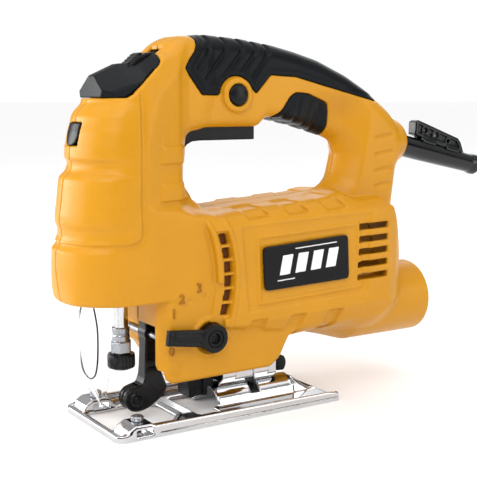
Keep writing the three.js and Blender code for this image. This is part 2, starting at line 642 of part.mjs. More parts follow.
function addRoller() {
  const outline = [
    [15, 69], [12, 66], [11.5, 40], [11.2, 24], [10.4, 20.4], [7.2, 20], [3.4, 18.9], [0.6, 16],
    [-0.1, 12.6], [1, 8.8], [3.6, 6.1], [7.2, 5.2], [11, 5.4], [15.5, 6.8], [22.7, 11.2],
    [26.2, 15.3], [26.6, 19], [21.5, 26], [20.8, 32], [20.8, 66], [18, 69],
  ].reverse();
  const wheel = [ROLLER.x, ROLLER.z];
  const tread = ROLLER.radius;
  add('roller_arm', without(
    slab(outline, 5, 0.6, 1),
    rod('y', ROLLER.radius + 0.9, -3.3, 3.3, wheel, 24),
    block(-10, ROLLER.x, -3.3, 3.3, 5, 30),
    rod('y', 2.3, -10, 10, wheel, 12),
    rod('y', 2.3, -10, 10, [ARM_PIVOT.x, ARM_PIVOT.z], 12)), BLACK);
  const grooved = new THREE.LatheGeometry([
    [2.3, -2.9], [tread, -2.9], [tread, -1], [tread - 1, -0.5], [tread - 1, 0.5], [tread, 1],
    [tread, 2.9], [2.3, 2.9], [2.3, -2.9],
  ].map(([radius, y]) => new THREE.Vector2(radius, y)), 24);
  add('guide_roller', solid(grooved.translate(ROLLER.x, 0, ROLLER.z)), STEEL);
  add('guide_roller_pin', rod('y', 2, -5.6, 5.6, wheel, 12), STEEL);
  add('roller_arm_pin', rod('y', 2, -22, 22, [ARM_PIVOT.x, ARM_PIVOT.z], 12), STEEL);
}

// ---------------------------------------------------------------- finger guard and dust shield
function addGuards() {
  const path = new THREE.CatmullRomCurve3([
    [-7, 75], [-7, 71.5], [-9.6, 66], [-12, 59], [-12.4, 50], [-11.4, 40], [-7.8, 31.6], [0, 28],
    [7.8, 31.6], [11.4, 40], [12.4, 50], [12, 59], [9.6, 66], [7, 71.5], [7, 75],
  ].map(([y, z]) => new THREE.Vector3(-20, y, z)));
  const round = new THREE.Shape().absarc(0, 0, 0.8, 0, 2 * Math.PI);
  add('wire_guard', solid(new THREE.ExtrudeGeometry(round, {
    steps: 36, curveSegments: 4, extrudePath: path, bevelEnabled: false,
  })), POLISHED);

  const low = 12;
  const top = 72.7;
  const rings = 12;
  const band = [...arc([0, 0], 16.8, 112, 248, 12), ...arc([0, 0], 15.2, 248, 112, 12)];
  const geometry = new THREE.ExtrudeGeometry(shapeOf(band), {
    depth: top - low, steps: rings, bevelEnabled: false,
  }).translate(0, 0, low);
  const place = geometry.attributes.position;
  for (let i = 0; i < place.count; i += 1) {
    const z = place.getZ(i);
    const scale = 0.2 + 0.8 * THREE.MathUtils.clamp((z - low) / 22, 0, 1);
    place.setX(i, place.getX(i) * scale - 10);
    place.setY(i, place.getY(i) * scale * (1 + 0.2 * scale ** 3));
  }
  add('clear_shield', solid(geometry), CLEAR);
}

// ---------------------------------------------------------------- sole and its bracket
function addSole() {
  const corner = 6;
  const rearCorner = 2.5;
  const outline = [
    ...arc([SOLE_REAR - rearCorner, -SOLE_HALF + rearCorner], rearCorner, -90, 0, 3),
    ...arc([SOLE_REAR - rearCorner, SOLE_HALF - rearCorner], rearCorner, 0, 90, 3),
    ...arc([SOLE_FRONT + corner, SOLE_HALF - corner], corner, 90, 180, 4),
    ...arc([SOLE_FRONT + corner, -SOLE_HALF + corner], corner, 180, 270, 4),
  ];
  const pan = plan(outline, 0, RAIL_TOP)
    .subtract(plan(inset(outline, SHEET), SHEET, RAIL_TOP + 5))
    .subtract(block(SOLE_FRONT - 1, SOLE_FRONT + corner, -40, 40, SHEET + 1.6, 20))
    .subtract(block(SOLE_REAR - SHEET - 0.1, SOLE_REAR + 1, 2.3 - SOLE_HALF, SOLE_HALF - 2.3, SHEET, 20));
  const bump = (sign) => {
    const arch = plate([
      [-16.5, 1], [6, 1], [3.5, 7], [1, 8.2], [-9, 8.2], [-12, 6.5],
    ], sign > 0 ? 20 : -35.9, sign > 0 ? 35.9 : -20);
    return arch;
  };
  const tunnel = block(-9.8, 1.6, -40, 40, -1, 5.6);
  const ridgeEnds = [57, 112];
  const ridge = rod('x', RIDGE_RADIUS, ...ridgeEnds, [0, 0], 40)
    .intersect(block(0, 200, -20, 20, 0, 20));
  const tail = slab([[111, 0], [130, 0], [130, 2.2], [124, 3], [116, 8], [111, 12.5]], 12);
  const ridgeHollow = rod('x', RIDGE_RADIUS - SHEET, ridgeEnds[0] - 1, ridgeEnds[1], [0, 0], 40);
  const tailHollow = slab([[100, -1], [122, -1], [115, 5.5], [111.9, 8.5], [100, 8.5]], 10);
  const screwSlot = section([
    [0, 0], ...arc([0, 0], 20, 29, 151, 10),
  ], 80.9, 87.1);
  const fenceHole = (sign) => rod('z', 2.3, 4, 12, [-4, sign * 27], 16);
  add('sole_plate', without(
    union(pan, bump(1), bump(-1), ridge, tail),
    tunnel, ridgeHollow, tailHollow, screwSlot, fenceHole(1), fenceHole(-1),
    block(-14.5, 28.5, -19.5, 19.5, -1, 4), block(40, 54, -19.5, 19.5, -1, 4)), POLISHED);

  const crown = arc([0, 0], RIDGE_RADIUS + 0.4, 125, 55, 8);
  add('tilt_bracket', without(
    union(
      section([[-13.5, 26.7], [-13.5, 17.6], ...crown, [13.5, 17.6], [13.5, 26.7]].reverse(),
        60, 100),
      block(28, 61, -13.5, 13.5, 22.5, 26.7)),
    rod('z', 2.9, 5, 30, [84, 0], 16)), STEEL);
  add('bevel_clamp_screw', union(
    rod('z', 5, 5.5, 9.2, [84, 0], 6),
    rod('z', 2.5, 9, 26.4, [84, 0], 16)), STEEL);
  add('bracket_spacer', block(40, 57, -7.5, 7.5, 13, 22.2), BLACK);
  add('rear_bumper', plate([[100.3, 17.5], ...arc([100.3, 22], 6.5, -45, 45, 6), [100.3, 26.7]],
    -12, 12), BLACK);
  for (const [name, sign] of [['left', -1], ['right', 1]]) {
    add(`${name}_fence_screw`, union(
      rod('z', 2, 6, 9, [-4, sign * 27], 12),
      rod('z', 3.4, 8.5, 11, [-4, sign * 27], 16)), STEEL);
  }
}

addHousing();
addLamp();
addSwitchGear();
addLever();
addInlet();
addMotor();
addDrive();
addClamp();
addRoller();
addGuards();
addSole();

// The origin is on the sole's underside, at the middle of the whole tool's length.
const bounds = new THREE.Box3().setFromObject(tool);
tool.position.x = -(bounds.min.x + bounds.max.x) / 2;

export default tool;
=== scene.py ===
"""Looks for a corded jigsaw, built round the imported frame.

Shapes are worked out in millimetres, with X = 0 on the plunger's axis, +X to the rear, Y = 0 on
the joint plane of the housing and Z = 0 under the sole. They move to the row frame, in metres,
when a mesh is made. Moulded pieces are distance fields: negative inside, positive outside.
"""
import json
from functools import reduce
from math import ceil, cos, pi, radians, sin, sqrt

import bpy
import numpy as np
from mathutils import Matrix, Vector
from mathutils.bvhtree import BVHTree


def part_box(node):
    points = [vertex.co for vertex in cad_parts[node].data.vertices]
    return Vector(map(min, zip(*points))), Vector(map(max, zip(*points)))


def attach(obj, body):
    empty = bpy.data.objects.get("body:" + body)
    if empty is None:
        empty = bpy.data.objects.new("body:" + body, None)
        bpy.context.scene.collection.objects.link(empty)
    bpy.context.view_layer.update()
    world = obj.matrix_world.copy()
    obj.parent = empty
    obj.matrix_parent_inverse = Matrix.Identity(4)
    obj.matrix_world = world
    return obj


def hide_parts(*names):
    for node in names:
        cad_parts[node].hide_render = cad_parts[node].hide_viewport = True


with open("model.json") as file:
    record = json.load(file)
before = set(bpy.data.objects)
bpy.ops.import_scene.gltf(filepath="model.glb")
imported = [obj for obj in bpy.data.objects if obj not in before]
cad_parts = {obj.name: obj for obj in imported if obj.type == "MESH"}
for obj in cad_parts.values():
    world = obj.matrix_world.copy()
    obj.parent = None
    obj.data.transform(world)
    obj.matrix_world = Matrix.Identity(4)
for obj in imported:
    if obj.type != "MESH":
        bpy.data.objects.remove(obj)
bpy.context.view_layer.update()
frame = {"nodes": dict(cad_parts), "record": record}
low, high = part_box("upper_guide_bush")
PLUNGER_X = (low.x + high.x) / 2

# ---- driving dimensions
HEAD_HALF = 30.0
BARREL_HALF = 33.5
BLOCK_HALF = 28.5
HANDLE_HALF = 17.5
HEAD_FLOOR = 72.8
SKIN = 2.0
WALL = 3.0
SEAM = 0.06
SCREW_HOLES = [(25, 168), (158, 172), (34, 100), (30, 62), (177, 72)]
KEEP = 0.5
PORT_Z, PORT_RADIUS, PORT_BORE, PORT_REAR = 52.0, 23.4, 19.5, 214.6
LEVER_X, LEVER_Z, LEVER_RISE, LEVER_REACH = 41.7, 50.0, 7.0, 30.0
LOCK_X, LOCK_Z = 66.9, 185.6
SLEEVE_X, SLEEVE_Z, SLEEVE_DROP, SLEEVE_LENGTH = 192.0, 156.4, 12.7, 85.5
ARM_X, ARM_Z = 16.5, 50.0
ROLLER_X, ROLLER_Z, ROLLER_R = 7.2, 12.8, 7.0
RISE = 0.035


# ---- fields and meshes
class Grid:
    """Sample points of a box, as three arrays that broadcast against each other."""

    def __init__(self, x, y, z, step):
        self.step = step
        self.low = np.array([x[0], y[0], z[0]], np.float32)
        spans = [np.arange(a, b + step, step, dtype=np.float32) for a, b in (x, y, z)]
        self.x = spans[0][:, None, None]
        self.y = spans[1][None, :, None]
        self.z = spans[2][None, None, :]


def to_lines(pairs, a, b):
    """Distance to the nearest of several straight lines, in the plane of a and b."""
    nearest = np.float32(1e9)
    for (a0, b0), (a1, b1) in pairs:
        da, db = a1 - a0, b1 - b0
        t = np.clip(((a - a0) * da + (b - b0) * db) / (da * da + db * db), 0, 1)
        nearest = np.minimum(nearest, (a - a0 - da * t) ** 2 + (b - b0 - db * t) ** 2)
    return np.sqrt(nearest)


def outline(points, a, b):
    """Signed distance to a closed outline."""
    pairs = list(zip(points, points[1:] + points[:1]))
    inside = np.zeros(np.broadcast(a, b).shape, bool)
    for (a0, b0), (a1, b1) in pairs:
        if b1 != b0:
            inside ^= ((b0 > b) != (b1 > b)) & (a < (a1 - a0) * (b - b0) / (b1 - b0) + a0)
    return np.where(inside, -1, 1).astype(np.float32) * to_lines(pairs, a, b)


def track(points, a, b):
    """Distance to an open line of points."""
    return to_lines(zip(points, points[1:]), a, b)


def away(a, b):
    """Distance from where a and b are both zero."""
    return np.sqrt(a ** 2 + b ** 2)


def within(*fields):
    """Where every field is inside, with sharp edges."""
    return reduce(np.maximum, fields)


def meet(f, g, r=0.0):
    """Where f and g are both inside, with the edge rounded to a radius."""
    if np.all(np.asarray(r) == 0):
        return np.maximum(f, g)
    outside = np.sqrt(np.maximum(f + r, 0) ** 2 + np.maximum(g + r, 0) ** 2)
    return np.minimum(np.maximum(f, g), -r) + outside


def join(f, g, r=0.0):
    """Where f or g is inside, with the inner corner filled to a radius."""
    return -meet(-f, -g, r)


def cut(f, g, r=0.0):
    return meet(f, -g, r)


def span(value, start, end):
    """Distance to a stretch between two values."""
    return abs(value - (start + end) / 2) - (end - start) / 2


def step_up(value, start, end):
    """0 before start and 1 after end, with a soft rise between them."""
    t = np.clip((value - start) / (end - start), 0, 1)
    return t * t * (3 - 2 * t)


def bump(distance, width):
    """1 on a line and 0 beyond the width."""
    return 1 - step_up(abs(distance), width * 0.35, width)


def blurred(field, reach, step):
    """Rounds the corners of a field of X and Z."""
    spread = max(reach / step, 0.3)
    size = ceil(2.5 * spread)
    weights = np.exp(-0.5 * (np.arange(-size, size + 1) / spread) ** 2)
    weights /= weights.sum()
    for axis in (0, 2):
        pads = [(size, size) if i == axis else (0, 0) for i in range(3)]
        padded = np.pad(field, pads, mode="edge")
        count = field.shape[axis]
        total = np.zeros_like(field)
        for i, weight in enumerate(weights):
            part = [slice(None)] * 3
            part[axis] = slice(i, i + count)
            total += np.float32(weight) * padded[tuple(part)]
        field = total
    return field


def sideways(g, half):
    """Distance to a side face whose distance from the joint plane is a field of X and Z."""
    dx = np.gradient(half, g.step, axis=0)
    dz = np.gradient(half, g.step, axis=2)
    return (g.y - half) / np.sqrt(1 + dx * dx + dz * dz)


def level(value, places, sizes):
    return np.interp(value, places, sizes).astype(np.float32)


CORNERS = [(i, j, k) for i in (0, 1) for j in (0, 1) for k in (0, 1)]
EDGES = [(a, b) for a in range(8) for b in range(a + 1, 8)
         if sum(abs(p - q) for p, q in zip(CORNERS[a], CORNERS[b])) == 1]


def skin_of(field, g):
    """Points and four-sided faces of the surface where a field is zero."""
    field = np.pad(field, 1, constant_values=g.step)
    nx, ny, nz = field.shape
    inside = field < 0
    count = np.zeros((nx - 1, ny - 1, nz - 1), np.uint8)
    for i, j, k in CORNERS:
        count += inside[i:nx - 1 + i, j:ny - 1 + j, k:nz - 1 + k]
    live = (count > 0) & (count < 8)
    number = np.full(live.shape, -1, np.int64)
    number[live] = np.arange(int(live.sum()))
    cells = np.argwhere(live)
    values = np.stack([field[cells[:, 0] + i, cells[:, 1] + j, cells[:, 2] + k]
                       for i, j, k in CORNERS], 1)
    total = np.zeros((len(cells), 3))
    hits = np.zeros(len(cells))
    for a, b in EDGES:
        crossed = (values[:, a] < 0) != (values[:, b] < 0)
        t = values[crossed, a] / (values[crossed, a] - values[crossed, b])
        start, end = np.array(CORNERS[a], float), np.array(CORNERS[b], float)
        total[crossed] += start + t[:, None] * (end - start)
        hits[crossed] += 1
    points = (cells + total / hits[:, None] - 1) * g.step + g.low
    faces = []
    for axis in range(3):
        first = [slice(1, -1)] * 3
        first[axis] = slice(0, -1)
        second = list(first)
        second[axis] = slice(1, None)
        was, now = inside[tuple(first)], inside[tuple(second)]
        at = np.argwhere(was != now)
        rising = was[tuple(at.T)]
        u, v = [a for a in range(3) if a != axis]
        base = at.copy()
        base[:, u] += 1
        base[:, v] += 1
        ring = []
        for du, dv in ((1, 1), (0, 1), (0, 0), (1, 0)):
            spot = base.copy()
            spot[:, u] -= du
            spot[:, v] -= dv
            ring.append(number[tuple(spot.T)])
        quads = np.stack(ring, 1)
        turned = rising if axis != 1 else ~rising
        quads[~turned] = quads[~turned][:, ::-1]
        faces.append(quads)
    return points, np.concatenate(faces)


def linked(name, data):
    """A new object of the scene."""
    obj = bpy.data.objects.new(name, data)
    bpy.context.scene.collection.objects.link(obj)
    return obj


def add_mesh(name, points, faces, crease=None):
    """A mesh from points in millimetres. crease is the angle past which edges stay sharp."""
    points = np.asarray(points, float)
    mesh = bpy.data.meshes.new(name)
    placed = points / 1000 + np.array([PLUNGER_X, 0, 0])
    if isinstance(faces, np.ndarray):
        mesh.vertices.add(len(points))
        mesh.vertices.foreach_set("co", placed.astype(np.float32).ravel())
        sides = faces.shape[1]
        mesh.loops.add(faces.size)
        mesh.loops.foreach_set("vertex_index", faces.astype(np.int32).ravel())
        mesh.polygons.add(len(faces))
        mesh.polygons.foreach_set("loop_start", np.arange(0, faces.size, sides, dtype=np.int32))
    else:
        mesh.from_pydata(placed.tolist(), [], faces)
    mesh.update(calc_edges=True)
    mesh.validate()
    mesh.polygons.foreach_set("use_smooth", np.ones(len(mesh.polygons), bool))
    if crease is not None:
        mesh.set_sharp_from_angle(angle=radians(crease))
    return linked(name, mesh)


def baked(obj):
    """Puts the object's modifiers into its mesh."""
    shape = obj.evaluated_get(bpy.context.evaluated_depsgraph_get())
    mesh = bpy.data.meshes.new_from_object(shape)
    obj.modifiers.clear()
    obj.data = mesh
    return obj


def moulded(name, field, g, mirror=False, keep=None):
    """A mesh of a field. keep thins it to that share of its triangles."""
    points, faces = skin_of(np.ascontiguousarray(field), g)
    if mirror:
        points[:, 1] *= -1
        faces = faces[:, ::-1].copy()
    obj = add_mesh(name, points, faces)
    if keep:
        thin = obj.modifiers.new("thin", "DECIMATE")
        thin.ratio = keep
        baked(obj)
        obj.data.polygons.foreach_set("use_smooth", np.ones(len(obj.data.polygons), bool))
    return obj


def lathe(name, profile, axis, centre, sides=64, crease=30):
    """A turned piece. profile is a closed ring of (radius, distance along the axis)."""
    angles = np.arange(sides) * 2 * pi / sides
    ring = np.array(profile, float)
    count = len(ring)
    radius, along = ring[:, 0][None, :], ring[:, 1][None, :]
    across = radius * np.cos(angles)[:, None]
    up = radius * np.sin(angles)[:, None]
    along = np.broadcast_to(along, across.shape)
    order = {"x": (along, across, up), "y": (up, along, across), "z": (across, up, along)}[axis]
    points = np.stack([o.ravel() for o in order], 1) + np.array(centre, float)
    i, j = np.meshgrid(np.arange(sides), np.arange(count), indexing="ij")
    i2, j2 = (i + 1) % sides, (j + 1) % count
    faces = np.stack([i * count + j, i2 * count + j, i2 * count + j2, i * count + j2], -1)
    return add_mesh(name, points, outward(points, faces.reshape(-1, 4)), crease)


def outward(points, faces):
    """The faces turned so that a closed mesh has its normals on the outside."""
    a, b, c, d = (points[faces[:, i]] for i in range(4))
    volume = np.einsum("ij,ij->i", a, np.cross(b, c)) + np.einsum("ij,ij->i", a, np.cross(c, d))
    return faces if volume.sum() > 0 else faces[:, ::-1].copy()


def swept(name, path, radius, sides=16):
    """A round wire along a path of points."""
    path = np.array(path, float)
    radius = np.broadcast_to(radius, len(path))
    tangent = np.gradient(path, axis=0)
    tangent /= np.linalg.norm(tangent, axis=1)[:, None]
    side = np.cross(tangent[0], [0.3, 0.9, 0.2])
    rings = []
    angles = np.arange(sides) * 2 * pi / sides
    for at, along, thick in zip(path, tangent, radius):
        side = side - along * side.dot(along)
        side /= np.linalg.norm(side)
        other = np.cross(along, side)
        turned = np.cos(angles)[:, None] * side + np.sin(angles)[:, None] * other
        rings.append(at + thick * turned)
    count = len(path)
    points = np.concatenate(rings)
    faces = [[i * sides + j, (i + 1) * sides + j, (i + 1) * sides + (j + 1) % sides,
              i * sides + (j + 1) % sides] for i in range(count - 1) for j in range(sides)]
    ends = [list(range(sides)), list(range((count - 1) * sides, count * sides))[::-1]]
    return add_mesh(name, points, faces + ends, 40)


def spline(points, steps):
    """A smooth line through points."""
    p = np.array([points[0], *points, points[-1]], float)
    line = []
    for i in range(1, len(p) - 2):
        for t in np.arange(steps) / steps:
            line.append(0.5 * (2 * p[i] + (p[i + 1] - p[i - 1]) * t
                               + (2 * p[i - 1] - 5 * p[i] + 4 * p[i + 1] - p[i + 2]) * t ** 2
                               + (3 * p[i] - p[i - 1] - 3 * p[i + 1] + p[i + 2]) * t ** 3))
    return np.array(line + [p[-2]])


# ---- outlines of the body
HEAD = [
    (-33, 60), (60, 60), (60, 118), (38, 124), (33, 135), (33, 150), (44, 166), (50, 190),
    (48, 210), (34, 216.5), (27, 213.4), (22, 208.6), (6, 203.5), (-3.5, 202), (-60, 196),
]
BARREL = [
    (36, 56), (70, 50), (94, 45), (100, 40.6), (120, 42.6), (143, 42), (165, 41.4), (185, 61),
    (189, 78), (186.8, 92), (183.4, 104), (178.4, 114), (172, 125), (134, 128.6), (114, 126.1),
    (74, 123.8), (36, 119.4),
]
BLOCK = [
    (10.8, 80), (10.8, 36), (14, 28.4), (18, 25.6), (84, 26), (90.5, 30.5), (97.4, 43),
    (104, 46.5), (104, 80),
]
HANDLE = [
    (44, 110), (100, 110), (150, 105), (188.5, 104), (191.4, 126), (193.2, 140), (197.4, 146),
    (199, 152), (198, 158), (193, 168.6), (185.8, 176.2), (169, 188), (151, 197.8),
    (129.4, 206.6), (112.8, 211), (96, 214.6), (74, 217.6), (50, 219), (40, 218.3),
    (30, 213.6), (24, 206), (24, 150),
]
OPENING = [
    (40.4, 127), (47, 120.4), (74, 122.8), (114, 125.2), (134, 127), (147, 136.4),
    (150, 149), (145.6, 157), (137.6, 160.6), (118, 167.6), (100, 172.2), (90, 172.8),
    (84, 167.4), (38, 167.4), (33.6, 164.5), (32.2, 158), (32.4, 146), (33.8, 135.5),
]
LOCK_ARC = [(LOCK_X + 10.8 * cos(radians(a)), LOCK_Z + 10.8 * sin(radians(a)))
            for a in range(175, 10, -15)]
GRIP = [
    (177, 186.5), (180, 194), (176, 230), (38, 230), (41, 215), (39.4, 210.5), (32, 200.2),
    (43.3, 185.6), (55.4, 185.4), *LOCK_ARC, (80.8, 186.2), (91, 197.1), (109, 196.2),
    (133, 190.5), (160, 184.5), (173, 181.5),
]
FINGER = [
    (84, 160), (120, 150), (137.4, 150), (138.6, 160), (139.4, 167), (137.7, 175.4),
    (134.5, 181), (118, 186.5), (109, 187.2), (104.6, 184.6), (98.2, 175.7), (91.1, 171),
]
CAP = [
    (-60, 184), (-5.5, 184), (-2, 186.3), (2.1, 190), (6.3, 193.8), (14.9, 201.7), (16.4, 204),
    (20.4, 210), (22, 213), (22, 240), (-60, 240),
]
SHELL = [
    (-60, 106.4), (-7.7, 106.4), (-3, 107.5), (-0.8, 111), (-1.4, 130), (0.2, 186), (-60, 186),
]
NOSE = [
    (60, -34.6), (72.6, -36), (75, -38), (79, -38.8), (95, -38.6), (103.2, -38),
    (105.2, -36.4), (107.4, -34.2), (110, -33.3), (114, -33.3), (117, -33.9), (121, -33.8),
    (126, -33), (132, -32.2), (137, -31.6), (140.6, -30.9), (142.6, -29.5), (144.8, -28.1),
    (147.5, -27.1), (150.2, -27.1), (151.6, -27.9), (157.8, -27.6), (161, -26.8), (166, -25.7),
    (170, -24.4), (174.5, -23.2), (177.5, -21), (181, -17.6), (184, -16.8), (196, -15.4),
    (204, -5), (210, 10),
]
NOSE_PLAN = [(32 - 32 * cos(radians(a)), 31 * sin(radians(a)))
             for a in range(0, 91, 5)] + [(90, 31)]
BADGE = [(74.7, 98.8), (136.6, 102), (137.9, 75.1), (76.2, 73.3)]
PANEL = [(71.6, 104.8), (145, 108), (148, 69.4), (73, 66.2)]
PANEL_OUTER = [(61, 111.2), (155, 114.5), (153, 66), (65.5, 62.8)]


def vent_middle(z):
    return 52.4 - 0.0066 * (z - 83) ** 2


def head_field(g):
    """The head: a side outline met with a nose that is elliptical from above."""
    side = blurred(outline(HEAD, g.x, g.z), 1.6, g.step)
    column = level(g.x, (0, 13, 26, 34), (30.2, 27, 24, 17)) + 30 * (1 - step_up(g.z, 110, 126))
    top = level(g.z, (150, 186, 206, 216), (30.2, 27, 22, 17))
    half = blurred(np.minimum(np.minimum(column, top), HEAD_HALF), 1.0, g.step)
    body = meet(side, sideways(g, half), 5)
    front = level(g.z, *zip(*NOSE))
    plan = NOSE_PLAN + [(a, -b) for a, b in reversed(NOSE_PLAN[1:])]
    along = np.arange(-30, 120, g.step, dtype=np.float32)
    table = outline(plan, along[:, None], g.y[0, :, 0][None, :])
    place = (g.x - front - along[0]) / g.step
    low_cell = np.clip(np.floor(place).astype(int), 0, len(along) - 2)[:, 0, :]
    share = np.clip(place[:, 0, :] - low_cell, 0, 1)[:, None, :]
    nose = (table[low_cell].transpose(0, 2, 1) * (1 - share)
            + table[low_cell + 1].transpose(0, 2, 1) * share)
    body = meet(body, nose * 0.97, 2.5)
    near_nose = 1 - step_up(g.x, -16, -7)
    body = body + 0.6 * bump(g.z - 146.8, 5.2) * near_nose
    body = body + 0.6 * bump(g.z - 110.8, 6.4) * near_nose
    shell = outline(SHELL, g.x, g.z)
    proud = 1.3 * (1 - step_up(shell, -0.5, 0.5)) - 0.7 * bump(shell - 2.2, 2.0)
    proud = proud + 0.5 * (1 - step_up(g.z, 142.2, 143.6)) * (1 - step_up(shell, -1, 0.2))
    body = body - proud
    pads = np.minimum(outline([(12.4, 148.6), (14.4, 158), (40, 157), (40, 148.2)], g.x, g.z),
                      outline([(11.8, 128), (13.6, 137.6), (40, 137.6), (40, 128.4)], g.x, g.z))
    body = body - 1.3 * (1 - step_up(pads, -0.5, 0.5)) * step_up(g.y, 8, 12)
    return meet(body, HEAD_FLOOR - g.z, 1.2)


def barrel_field(g):
    """The motor barrel with its flutes, badge panel and vent rims."""
    side = blurred(outline(BARREL, g.x, g.z), 1.5, g.step)
    height = g.z - RISE * (g.x - 100)
    squeeze = 1 + 1.2 * step_up(g.x, 136, 156)
    raised = np.where(height > 113, 113 + (height - 113) * squeeze, height)
    half = level(raised, (37, 42, 46.5, 56.5, 112.5, 117.5, 126.5, 129.5, 132),
                 (15, 24, 29.2, BARREL_HALF, BARREL_HALF, 30.8, 24, 18, 11))
    plan = level(g.x, (170, 178, 185, 189), (BARREL_HALF, 31, 26, 17))
    half = np.minimum(half, plan)
    flutes = np.float32(0)
    for x in (66, 94, 122):
        slot = [(x - 4.2, 42), (x + 1.5, 57), (x + 13, 57), (x + 7.5, 42)]
        flutes = np.maximum(flutes, 1 - step_up(outline(slot, g.x, g.z), -1.0, 0.4))
        slot = [(x + 16.2, 116.8), (x + 3.8, 131), (x - 8.5, 131), (x + 1.0, 116.2)]
        flutes = np.maximum(flutes, 1 - step_up(outline(slot, g.x, height), -1.0, 0.4))
    outer = 1 - step_up(outline(PANEL_OUTER, g.x, g.z), -0.7, 0.7)
    frame_line = outline(PANEL, g.x, g.z)
    half = half - 1.2 * outer + 1.2 * bump(frame_line, 1.7)
    rim = g.x - vent_middle(g.z)
    half = half + 0.8 * bump(rim + 5.6, 1.6) + 0.8 * bump(rim - 5.4, 1.5)
    half = blurred(half, 0.4, g.step)
    body = meet(side, sideways(g, half), 4) + 2.0 * flutes
    return meet(body, vent_middle(g.z) - 7.6 - g.x, 1.0)


def block_field(g):
    """The block under the barrel that carries the lever."""
    side = blurred(outline(BLOCK, g.x, g.z), 0.9, g.step)
    half = np.full(side.shape, BLOCK_HALF, np.float32)
    raised = [(14.5, 71), (11.4, 64), (11.4, 46.5), (33, 46.5), (60, 46.5), (60, 90), (30, 90)]
    face = outline(raised, g.x, g.z)
    half += 0.9 * (1 - step_up(face, -0.6, 0.6))
    hub = away(g.x - LEVER_X, g.z - LEVER_Z)
    half += 1.6 * bump(hub - 10.6, 1.9)
    boss = away(g.x - 18.1, g.z - 35)
    half -= 0.7 * bump(boss - 4.7, 1.2)
    half = blurred(half, 0.4, g.step)
    body = meet(side, sideways(g, half), 2.2)
    front = (-(g.x - 10.8) + (g.y - BLOCK_HALF)) / sqrt(2) + 3.4
    return meet(body, front, 0.8)


def handle_field(g):
    """The handle's loop, pinched in at the rear, with four grooves."""
    side = blurred(outline(HANDLE, g.x, g.z), 2.0, g.step)
    half = np.full(side.shape, HANDLE_HALF, np.float32)
    edge = level(g.z, (119, 143, 158, 172), (153.5, 161.2, 164.8, 166))
    valley = np.clip(edge - g.x, 0, 16) * 0.5
    half -= valley * step_up(g.x, 100, 135) * (1 - step_up(g.z, 170, 190))
    for z in (160.5, 150, 139.6, 130):
        line = track([(171.5, z - 1.2), (184.5, z + 0.6)], g.x, g.z)
        half -= 1.2 * bump(line, 1.2)
    half = blurred(half, 0.4, g.step)
    return meet(side, sideways(g, half), 11)


def boss_field(g):
    """The round boss that the cord sleeve leaves from."""
    across = np.sqrt(((g.x - 192.3) / 15.8) ** 2 + (g.y / 15) ** 2 + ((g.z - 155.8) / 15.6) ** 2)
    return (across - 1) * 15.2


def port_field(g):
    """The dust port and its taper into the barrel."""
    reach = away(g.y, g.z - PORT_Z)
    radius = level(g.x, (122, 156), (13, PORT_RADIUS))
    tube = meet(reach - radius, g.x - PORT_REAR, 1.0)
    return meet(tube, 126 - g.x, 3)


def body_field(g):
    """The outside of the closed housing with its soft skins on."""
    opening = blurred(outline(OPENING, g.x, g.z), 1.2, g.step)
    round_inside = level(g.x, (30, 60, 118, 142), (5, 6, 7, 14))
    handle = cut(handle_field(g), opening, round_inside)
    head = cut(head_field(g), opening, 5)
    body = join(head, handle, 7)
    barrel = cut(barrel_field(g), opening, 5)
    body = join(body, barrel, 1.2)
    body = join(body, block_field(g), 1.0)
    body = join(body, port_field(g), 9)
    return join(body, boss_field(g), 1.6)


def vents(g):
    """Cuts for the slots at the rear and the curved row of windows at the front."""
    slots = np.float32(1e9)
    for i in range(5):
        middle = 105.9 - 7.75 * i + RISE * (g.x - 157)
        shape = within(abs(g.z - middle) - 1.9, abs(g.x - 157.5) - 11.5)
        slots = np.minimum(slots, shape)
    offset = g.x - vent_middle(g.z)
    arc = within(abs(offset) - 3.7, span(g.z, 60.2, 110))
    windows = np.float32(1e9)
    for i in range(6):
        start = 61.8 + 8.1 * i
        shape = within(abs(offset - 0.5) - 2.7, span(g.z, start, start + 6.4))
        windows = np.minimum(windows, shape)
    return slots, arc, windows


def grip_lines(g):
    """Depth of the slanting channels across the grip and its border."""
    depth = np.float32(0)
    for top_x, turn_x, end_x, end_z in ((50, 48.6, 41.5, 200.5), (61.2, 60.1, 46.8, 195),
                                        (71.2, 71, 58.4, 195.5), (81.4, 80.6, 69.2, 196.8),
                                        (89.6, 89.6, 79, 196)):
        line = track([(top_x, 230), (turn_x, 210), (end_x, end_z)], g.x, g.z)
        depth = np.maximum(depth, bump(line, 1.9))
    return depth * 1.45


# ---- materials
def node(tree, kind, **inputs):
    made = tree.nodes.new(kind)
    for key, value in inputs.items():
        name = key.replace("_", " ")
        if name in made.inputs:
            made.inputs[name].default_value = value
        else:
            setattr(made, key, value)
    return made


